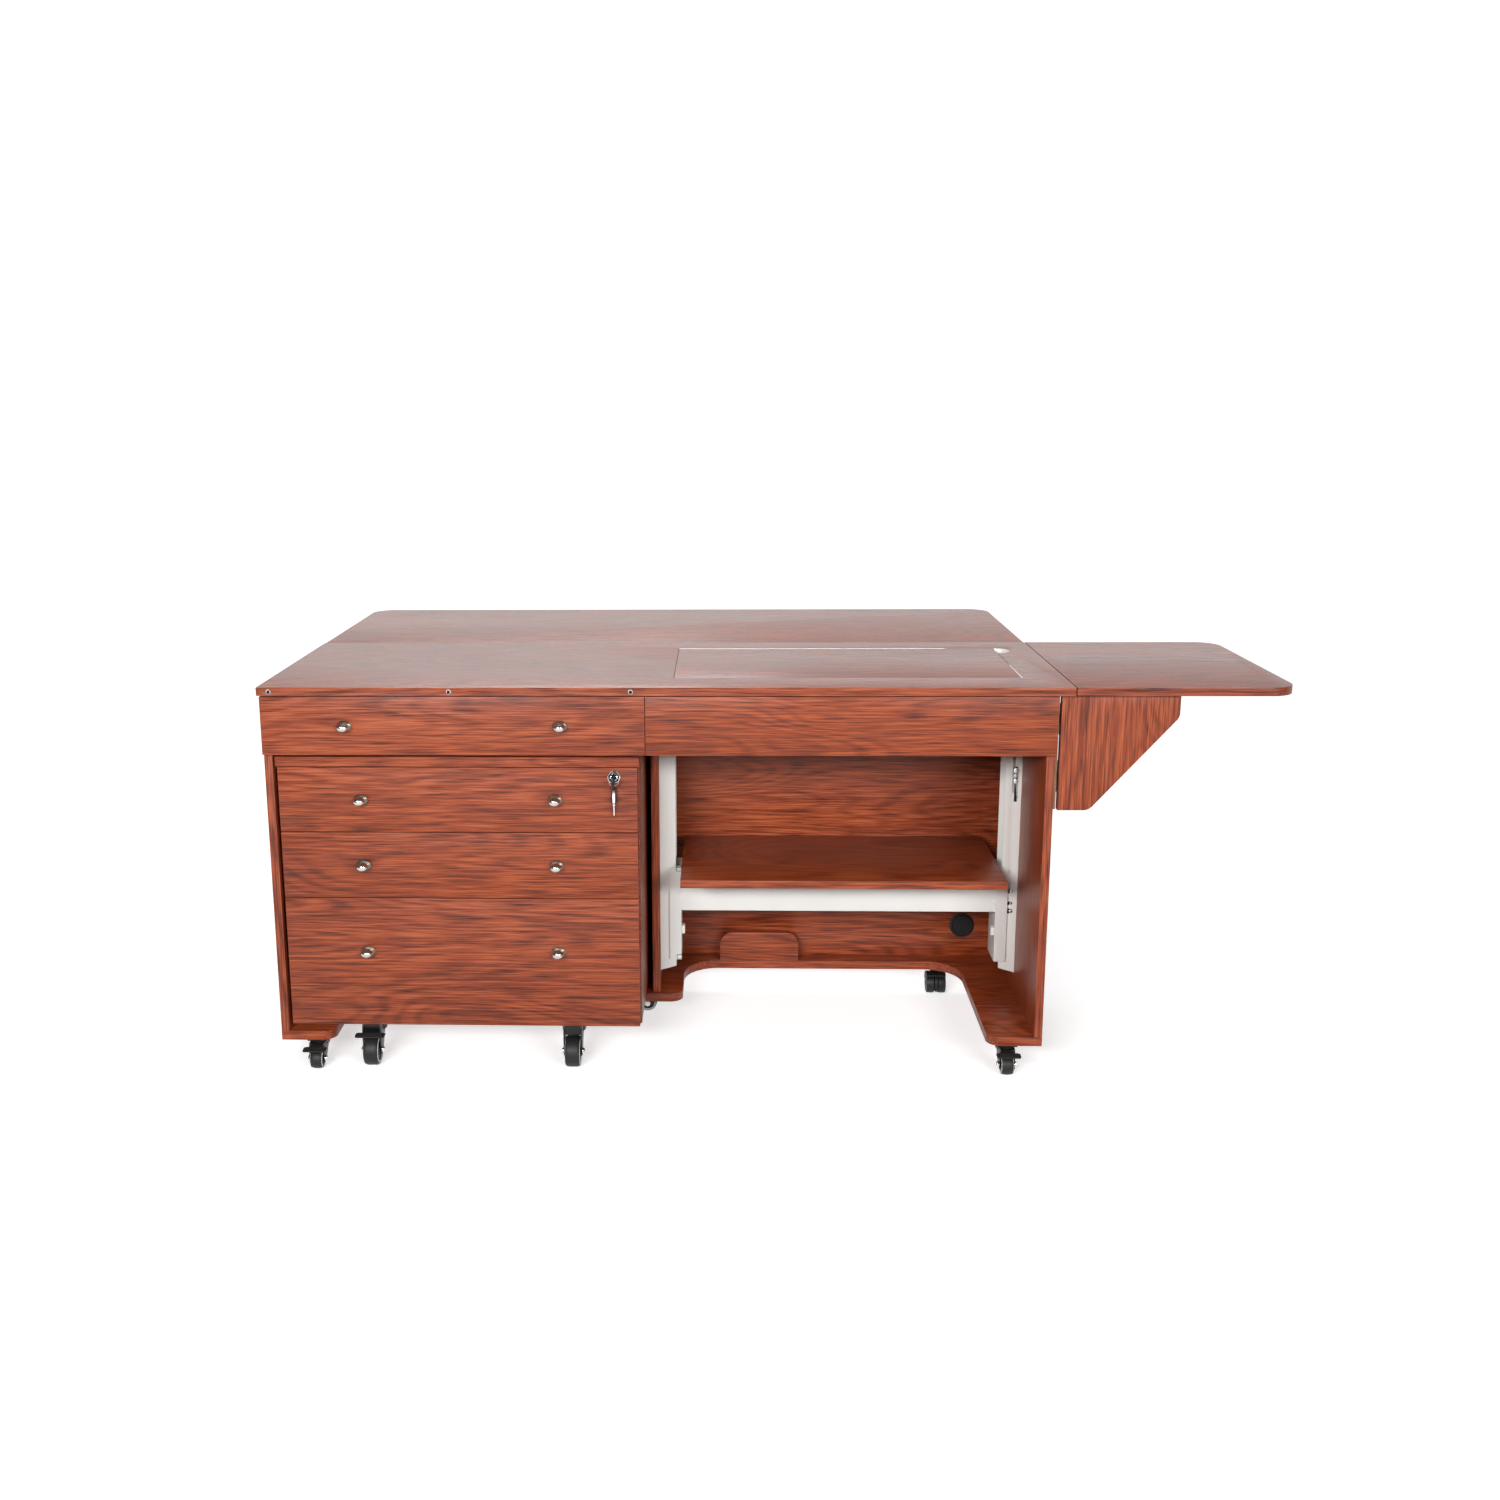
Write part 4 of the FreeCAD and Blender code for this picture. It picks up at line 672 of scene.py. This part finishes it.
# ------------------------------------------------------------------ lift
def make_lift():
    for number, solid in enumerate(copy_solids("lift_uprights")):
        soften(solid, 0.0005)
        piece = from_bmesh(f"upright_{number}", solid, [CREAM])
        piece.done("cabinet", "lift_steel", ("lift_uprights",) if number == 0 else ())
    frame_solid = copy_solids("lift_frame")[0]
    soften(frame_solid, 0.0005)
    from_bmesh("carriage_frame", frame_solid, [CREAM]).done("lift", "lift_steel", ("lift_frame",))

    low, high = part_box("lift_uprights")
    right = high.x - 11.5 * MM
    front = low.y
    bits = Piece("upright_hardware")
    top = high.z
    bits.block((right - 3 * MM, front - 0.4 * MM, top - 263 * MM),
               (right + 3 * MM, front + 0.3 * MM, top - 190 * MM),
               BLACK_PAINT, 0.0002)
    for drop, radius in ((198, 6.0), (209, 4.6), (220, 5.4)):
        bits.lathe([(0, 0), (radius, 0), (radius, 1.8), (radius * 0.85, 2.2), (2.6, 2.2), (2.6, 3), (0, 3.2)],
                   aim((right, front, top - drop * MM), -Y), ZINC, 6)
    bits.tube([(right + k * 0.3 * MM, front - (1.4 + k % 2 * 0.4) * MM, top - (222 + 3 * k) * MM)
               for k in range(12)], 0.0011, ZINC)
    for drop, radius in ((453, 3.4), (479, 3.4), (496, 4.6)):
        bits.screw((right, front + 0.6 * MM, top - drop * MM), -Y, radius, ZINC)
    bits.done("cabinet", "lift_steel")

    low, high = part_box("lift_frame")
    guides = Piece("carriage_guides")
    for x, way in ((low.x, 1), (high.x, -1)):
        for z in (low.z + 10 * MM, high.z - 26 * MM):
            for y0, y1 in ((low.y + 2 * MM, low.y + 5.6 * MM), (low.y + 66.4 * MM, low.y + 70 * MM)):
                ends = sorted((x + way * 3 * MM, x + way * 14 * MM))
                guides.block((ends[0], y0, z), (ends[1], y1, z + 16 * MM), WHITE_PLASTIC_AND_HIGHLIGHT, 0.0005)
    inner = low.x + 24 * MM
    for z in (high.z - 4 * MM, low.z + 4 * MM):
        guides.block((inner - 10 * MM, low.y - 1 * MM, z - 3 * MM),
                     (inner + 1 * MM, low.y + 8 * MM, z + 7 * MM),
                     BLACK_PLASTIC, 0.0012)
    rail = low.y + 3 * MM
    for x in (low.x + 72 * MM, high.x - 150 * MM):
        guides.screw((x, rail, high.z - 12 * MM), -Y, 3.6, BLACK_PAINT)
    for x in (low.x + 26 * MM, high.x - 26 * MM):
        for z in (high.z - 30 * MM, high.z - 72 * MM):
            guides.lathe([(0, 0), (4.6, 0), (4.6, 2.4), (3.8, 3.2), (0, 3.2)],
                         aim((x, rail, z), -Y), CREAM, 6)
    guides.done("lift", "lift_steel")


# ------------------------------------------------------------------ cord grommet
def make_grommet():
    solid = copy_solids("cord_grommet")[0]
    soften(solid, 0.0008)
    from_bmesh("grommet_ring", solid, [BLACK_PLASTIC]).done("cabinet", "black_plastic", ("cord_grommet",))
    low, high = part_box("cord_grommet")
    centre = Vector(((low.x + high.x) / 2, low.y, (low.z + high.z) / 2))
    cap = Piece("grommet_cap")
    cap.lathe([(0, -0.6), (2.4, -0.6), (2.8, 1.2), (19.6, 1.2), (20.4, 2.4),
               (22.5, 2.6), (23.2, 1.8), (23.2, 0), (26.6, -0.2)],
              aim(centre, -Y), BLACK_PLASTIC, 56)
    for step in range(36):
        angle = 2 * math.pi * step / 36
        spot = Matrix.Translation(centre + Y * 1.5 * MM) @ Matrix.Rotation(angle, 4, "Y")
        cap.block((-0.7 * MM, 0, 4 * MM), (0.7 * MM, 0.6 * MM, 20 * MM), DARK_FELT_AND_SHADE, 0, spot)
    cap.done("cabinet", "black_plastic")


# ------------------------------------------------------------------ hinges and stays
def make_hinges():
    rows = (("cabinet_hinge_leaves", "cabinet", "hinge_bronze", BRONZE),
            ("right_leaf_hinge_leaves", "side_leaf", "hinge_bronze", BRONZE),
            ("bracket_hinge_leaves", "bracket", "hinge_bronze", BRONZE),
            ("stay_wall_arms", "cabinet", "stay_steel", ZINC),
            ("stay_leaf_arms", "rear_leaf", "stay_steel", ZINC),
            ("stay_struts", "stays", "stay_steel", ZINC))
    for node, body, slot, material in rows:
        for number, solid in enumerate(copy_solids(node)):
            low, high = extent(solid)
            soften(solid, 0.0003)
            piece = from_bmesh(f"{node}_{number}", solid, [material])
            middle = (low + high) / 2
            if "hinge" in node:
                vertical = (high.z - low.z) > 0.03
                for share in (0.2, 0.5, 0.8):
                    if not vertical:
                        x = high.x - 9 * MM if node != "cabinet_hinge_leaves" else low.x + 9 * MM
                        spot = (x, low.y + (high.y - low.y) * share, high.z - 1.2 * MM)
                        piece.screw(spot, -Z, 3.2, material)
                    elif node == "bracket_hinge_leaves":
                        piece.sink((high.x - 8 * MM, high.y, low.z + (high.z - low.z) * share),
                                   Y, 3.0, material)
                    else:
                        piece.sink((low.x + 1.3 * MM, high.y - 8 * MM, low.z + (high.z - low.z) * share),
                                   X, 3.0, material)
            elif node == "stay_wall_arms":
                for z in (low.z + 30 * MM, middle.z, high.z - 30 * MM):
                    piece.screw((low.x + 6 * MM, low.y + 3 * MM, z), Y, 4, material)
            elif node == "stay_leaf_arms":
                for share in (0.35, 0.65, 0.93):
                    piece.screw((middle.x, low.y + (high.y - low.y) * share, high.z - 3 * MM),
                                -Z, 4, material)
            piece.done(body, slot, (node,) if number == 0 else ())


# ------------------------------------------------------------------ casters
CASTERS = {
    # name: body above it, wheel radius, wheel width, fork head radius, cheek, braked
    "front_left_caster": ("cabinet", 20, 23, 19, 2.5, True),
    "front_right_caster": ("cabinet", 20, 23, 19, 2.5, True),
    "middle_caster": ("cabinet", 20, 23, 19, 2.5, False),
    "caddy_front_left_caster": ("caddy", 31, 29, 24, 3, True),
    "caddy_front_right_caster": ("caddy", 31, 29, 24, 3, False),
    "caddy_rear_left_caster": ("caddy", 31, 29, 24, 3, False),
    "caddy_rear_right_caster": ("caddy", 31, 29, 24, 3, False),
}


def joint_axis(name):
    """A joint's point and axis."""
    joint = next(entry for entry in frame["joints"] if entry["name"] == name)
    return Vector(joint.get("pos_m", (0, 0, 0))), Vector(joint["axis"])


def make_wheel(name, body, centre, axis, radius, width, node):
    """A tyre on a pale-rimmed hub, turned about its axle."""
    half = width / 2
    piece = Piece(name)
    face = [(3.06, half - 0.6), (6.2, half - 0.2), (6.8, half - 0.8), (7.4, half - 2.4),
            (radius * 0.66, half - 2.6), (radius * 0.70, half - 1.4)]
    rim = [(radius * 0.70, half - 1.4), (radius * 0.72, half), (radius * 0.76, half + 0.5),
           (radius * 0.84, half + 0.3), (radius * 0.87, half - 0.5)]
    tyre = [(radius * 0.87, half - 0.5), (radius * 0.88, half - 0.9), (radius * 0.92, half - 0.7),
            (radius - 1.2, half - 2.4), (radius - 0.3, half - 5.0), (radius, half - 8), (radius, 0)]
    for way in (1, -1):
        matrix = aim(centre, axis * way)
        piece.lathe(face, matrix, BLACK_PLASTIC, 56)
        piece.lathe(rim, matrix, RIM, 56)
        piece.lathe(tyre, matrix, RUBBER, 56)
        for spoke in range(5):
            turned = matrix @ Matrix.Rotation(2 * math.pi * spoke / 5, 4, "Z")
            piece.block((7 * MM, -1.0 * MM, (half - 2.9) * MM),
                        (radius * 0.66 * MM, 1.0 * MM, (half - 1.5) * MM),
                        BLACK_PLASTIC, 0.0003, turned)
    bmesh.ops.remove_doubles(piece.bm, verts=piece.bm.verts, dist=1e-6)
    piece.done(body, "wheel_tread", (node,))


def make_casters():
    for name, (above, radius, width, head, cheek, braked) in CASTERS.items():
        fork = name + "_fork"
        solid = copy_solids(fork)[0]
        soften(solid, 0.0006)
        centre, axis = joint_axis(name + "_roll")
        reach = (width / 2 + 1 + cheek) * MM
        stem, _ = joint_axis(name + "_swivel")
        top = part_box(fork)[1].z - 12 * MM + 0.3 * MM

        def choose(face):
            middle = face.calc_center_median()
            return 1 if abs((middle - centre).dot(axis)) > reach + 0.0002 or middle.z > top else 0

        piece = from_bmesh(name + "_housing", solid, [BLACK_PAINT, CHROME], choose)
        floor_z = centre.z + (radius + 3) * MM
        skirt = (top - floor_z) / MM
        crown = aim((stem.x, stem.y, floor_z), Z)
        piece.lathe([(0, 0.4), (head - 3.2, 0.4), (head - 2.0, 0),
                     (head - 0.4, 1.6), (head - 0.2, skirt * 0.5),
                     (head - 1.6, skirt - 5.4)], crown, BLACK_PAINT, 48)
        shield_low = centre.z + (radius + (13 if braked else 4)) * MM
        shield_y = centre.y - 5 * MM
        if abs(axis.x) > 0.9 and shield_low < top - 8 * MM:
            piece.block((centre.x - (width / 2 + 0.6) * MM, shield_y, shield_low),
                        (centre.x + (width / 2 + 0.6) * MM, shield_y + 2.4 * MM, top - 5 * MM),
                        BLACK_PAINT, 0.0008)
        for way in (1, -1):
            end = aim(centre + axis * way * reach, axis * way)
            piece.lathe([(0, 0), (6.2, 0), (6.2, 0.8), (5.6, 1.0)], end, CHROME, 32)
            piece.lathe([(0, 0.8), (5.4, 0.8), (5.4, 3.2), (4.7, 3.9), (3.0, 3.9), (2.9, 4.6), (0, 4.9)],
                        end, CHROME, 6)
        piece.lathe([(head - 3.5, -5.2), (head - 2.2, -6.4), (head - 4.5, -7.2), (head - 7, -7.4), (0, -7.4)],
                    aim((stem.x, stem.y, top), Z), CHROME, 40)
        piece.done(fork, "caster_steel", (fork,))
        make_wheel(name + "_tyre", name + "_wheel", centre, axis, radius, width, name + "_wheel")
        plate_half = (head + 3) * MM
        plate = Piece(name + "_plate")
        hole = (head + 0.8) * MM
        steps = 48
        rings = []
        for z in (top - 2.4 * MM, top):
            for kind in ("square", "round"):
                ring = []
                for step in range(steps):
                    angle = 2 * math.pi * step / steps
                    c, s = math.cos(angle), math.sin(angle)
                    size = plate_half / max(abs(c), abs(s)) if kind == "square" else hole
                    size = min(size, plate_half * 1.30)
                    ring.append(plate.bm.verts.new((stem.x + size * c, stem.y + size * s, z)))
                rings.append(ring)
        faces = []
        for first, second in ((0, 1), (2, 3), (0, 2), (1, 3)):
            for step in range(steps):
                after = (step + 1) % steps
                faces.append(plate.bm.faces.new((rings[first][step], rings[first][after],
                                                 rings[second][after], rings[second][step])))
        plate.paint(faces, BLACK_PAINT)
        for sx in (-1, 1):
            for sy in (-1, 1):
                reach_xy = plate_half - 3.6 * MM
                plate.screw((stem.x + sx * reach_xy, stem.y + sy * reach_xy, top - 2.4 * MM), -Z, 2.6, ZINC)
        plate.done(above, "caster_steel")
        if braked:
            pedal = copy_solids(name + "_pedal")[0]
            soften(pedal, 0.0006)
            low, high = extent(pedal)
            piece = from_bmesh(name + "_brake_pedal", pedal, [BLACK_PLASTIC])
            for rib in range(6):
                y = low.y + (3 + 2.6 * rib) * MM
                piece.block((low.x + 4 * MM, y, high.z - 0.6 * MM),
                            (high.x - 4 * MM, y + 1.2 * MM, high.z + 0.5 * MM), BLACK_PLASTIC, 0.0003)
            piece.done(name + "_pedal", "pedal_plastic", (name + "_pedal",))
    for name in ("rear_left_caster", "rear_right_caster"):
        solid = copy_solids(name + "_body")[0]
        soften(solid, 0.0005)
        from_bmesh(name + "_hood", solid, [BLACK_PLASTIC]).done(name + "_body", "black_plastic",
                                                               (name + "_body",))
        centre, axis = joint_axis(name + "_roll")
        piece = Piece(name + "_twin_tyres")
        for way in (1, -1):
            piece.lathe([(3.06, 4.2), (21, 4.2), (22, 5.4), (22, 17.5), (21.4, 19.6), (19.6, 20.9),
                         (16.4, 20.6), (15.6, 19.7), (15.0, 19.7), (13.8, 20.7), (6.0, 21.0), (5.4, 20.4),
                         (0, 20.4)], aim(centre, axis * way), BLACK_PLASTIC, 56)
        piece.done(name + "_wheels", "black_plastic", (name + "_wheels",))


# ------------------------------------------------------------------ small trim
def make_trim():
    """Bumper dots behind the fronts, the pad on the bracket, screw covers and corner brackets."""
    for drawer in ("top_drawer", "upper_drawer", "middle_drawer", "lower_drawer"):
        low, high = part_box(drawer + "_front")
        dots = Piece(drawer + "_bumpers")
        for x in (low.x + 7 * MM, high.x - 7 * MM):
            for z in (low.z + 9 * MM, high.z - 9 * MM):
                dots.lathe([(0, -0.2), (3.5, -0.2), (3.4, 0.1), (0, 0.15)], aim((x, high.y, z), Y), DARK_FELT_AND_SHADE, 20)
        dots.done(drawer, "black_plastic")
    low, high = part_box("leaf_bracket")
    pad = Piece("bracket_pad")
    pad.block((high.x - 60 * MM, low.y + 3 * MM, high.z - 0.3 * MM), (high.x - 20 * MM, high.y - 3 * MM,
              high.z + 2.4 * MM), DARK_FELT_AND_SHADE, 0.0008)
    pad.done("bracket", "black_plastic")
    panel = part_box("right_side_panel")[1].x
    strip = Piece("bracket_hinge_strip")
    strip.block((panel + 0.1 * MM, low.y + 0.5 * MM, low.z + 2 * MM),
                (panel + 4 * MM, low.y + 9 * MM, high.z), BRONZE, 0.0005)
    strip.done("cabinet", "hinge_bronze")
    for node, way in (("left_side_panel", -1), ("right_side_panel", 1)):
        low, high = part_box(node)
        caps = Piece(node + "_screw_covers")
        x = low.x if way < 0 else high.x
        for y in (low.y + 60 * MM, high.y - 60 * MM):
            caps.lathe([(0, 0.7), (4.6, 0.6), (6.2, 0.3), (6.6, 0)], aim((x, y, low.z + 9 * MM), X * way),
                       BRONZE, 28)
        caps.lathe([(0, 0.7), (4.6, 0.6), (6.2, 0.3), (6.6, 0)],
                   aim((x, high.y - 8 * MM, low.z + 500 * MM), X * way), BRONZE, 28)
        caps.done("cabinet", "wood_laminate")
    brackets = Piece("corner_brackets")
    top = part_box("main_top")[0].z
    left_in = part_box("left_side_panel")[1].x
    right_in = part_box("right_side_panel")[0].x
    for x, way in ((left_in, 1), (right_in, -1)):
        for y in (-0.36, -0.12):
            ends = sorted((x, x + way * 22 * MM))
            thin = sorted((x, x + way * 1.6 * MM))
            brackets.block((ends[0], y, top - 1.6 * MM), (ends[1], y + 16 * MM, top), ZINC, 0.0004)
            brackets.block((thin[0], y, top - 22 * MM), (thin[1], y + 16 * MM, top), ZINC, 0.0004)
            brackets.screw((x + way * 14 * MM, y + 8 * MM, top - 1.6 * MM), -Z, 3.4, ZINC)
            brackets.screw((x + way * 1.6 * MM, y + 8 * MM, top - 14 * MM), X * way, 3.4, ZINC)
    brackets.done("cabinet", "stay_steel")


# ------------------------------------------------------------------ stage, light and camera
def make_stage():
    """Pale floor that sweeps up behind the table, and a pale curved wall round the near side."""
    bm = bmesh.new()
    depth = [(-9.0, 0.0), (4.0, 0.0)]
    depth += [(4.0 + 3 * math.sin(k * math.pi / 24), 3 - 3 * math.cos(k * math.pi / 24))
              for k in range(1, 13)]
    depth.append((7.0, 12.0))
    rows = [[bm.verts.new((x, y, z - 0.0002)) for x in (-12.0, 12.0)] for y, z in depth]
    for row, after in zip(rows, rows[1:]):
        bm.faces.new((row[0], row[1], after[1], after[0]))
    mesh = bpy.data.meshes.new("studio_floor")
    bm.to_mesh(mesh)
    bm.free()
    mesh.shade_smooth()
    floor = bpy.data.objects.new("studio_floor", mesh)
    bpy.context.scene.collection.objects.link(floor)
    s = Shader("studio_floor")
    height = s.add("SeparateXYZ", Vector=s.add("TexCoord").outputs["Object"]).outputs[1]
    glow = s.add("MapRange", Value=height, From_Min=-1.0, From_Max=5.0, To_Min=FLOOR_GLOW, To_Max=BACK_GLOW)
    s.surface(Base_Color=STUDIO_TONE, Roughness=0.9, Emission_Color=(1, 1, 1, 1),
              Emission_Strength=glow.outputs[0], Specular_IOR_Level=0.1)
    mesh.materials.append(s.material)
    floor.visible_diffuse = False
    wall = Piece("studio_wall")
    turns = [math.pi * k / WALL_PANELS for k in range(WALL_PANELS + 1)]
    ring = [(WALL_RADIUS * math.cos(turn), -WALL_RADIUS * math.sin(turn)) for turn in turns]
    low_row = [wall.bm.verts.new((x, y + WALL_CENTRE, WALL_LOW)) for x, y in ring]
    high_row = [wall.bm.verts.new((x, y + WALL_CENTRE, WALL_HIGH)) for x, y in ring]
    for k in range(WALL_PANELS):
        wall.bm.faces.new((low_row[k], low_row[k + 1], high_row[k + 1], high_row[k]))
    mesh = bpy.data.meshes.new("studio_wall")
    wall.bm.to_mesh(mesh)
    wall.bm.free()
    s = Shader("studio_wall")
    s.surface(Base_Color=STUDIO_TONE, Roughness=0.9, Emission_Color=(1, 1, 1, 1),
              Emission_Strength=BACK_GLOW)
    mesh.materials.append(s.material)
    item = bpy.data.objects.new("studio_wall", mesh)
    bpy.context.scene.collection.objects.link(item)
    item.visible_diffuse = False
    item.visible_glossy = False
    item.visible_shadow = False


def make_light():
    world = bpy.data.worlds.new("studio")
    bpy.context.scene.world = world
    world.use_nodes = True
    world.node_tree.nodes["Background"].inputs[0].default_value = (1.0, 1.0, 1.0, 1)
    world.node_tree.nodes["Background"].inputs[1].default_value = WORLD_STRENGTH

    def area(name, at, target, size, power):
        light = bpy.data.lights.new(name, "AREA")
        light.shape = "RECTANGLE"
        light.size, light.size_y = size
        light.energy = power
        item = bpy.data.objects.new(name, light)
        bpy.context.scene.collection.objects.link(item)
        item.location = at
        item.rotation_euler = (Vector(target) - Vector(at)).to_track_quat("-Z", "Y").to_euler()

    for light in LIGHTS:
        area(*light)


def make_camera():
    camera = bpy.data.cameras.new("camera")
    item = bpy.data.objects.new("camera", camera)
    bpy.context.scene.collection.objects.link(item)
    turn = Matrix.Rotation(CAMERA_YAW, 4, "Z") @ Matrix.Rotation(math.pi / 2 - CAMERA_PITCH, 4, "X")
    item.matrix_world = Matrix.Translation(CAMERA_AT) @ turn @ Matrix.Rotation(CAMERA_ROLL, 4, "Z")
    camera.sensor_width = SENSOR
    camera.lens = LENS
    camera.shift_x, camera.shift_y = SHIFT
    camera.dof.use_dof = False
    bpy.context.scene.camera = item


make_boards()
make_drawer_insides()
make_caddy()
make_knobs()
make_lock()
make_top_fittings()
make_lift()
make_grommet()
make_hinges()
make_casters()
make_trim()
make_stage()
make_light()
make_camera()
bpy.context.scene.view_settings.view_transform = "Standard"
bpy.context.scene.view_settings.look = "None"
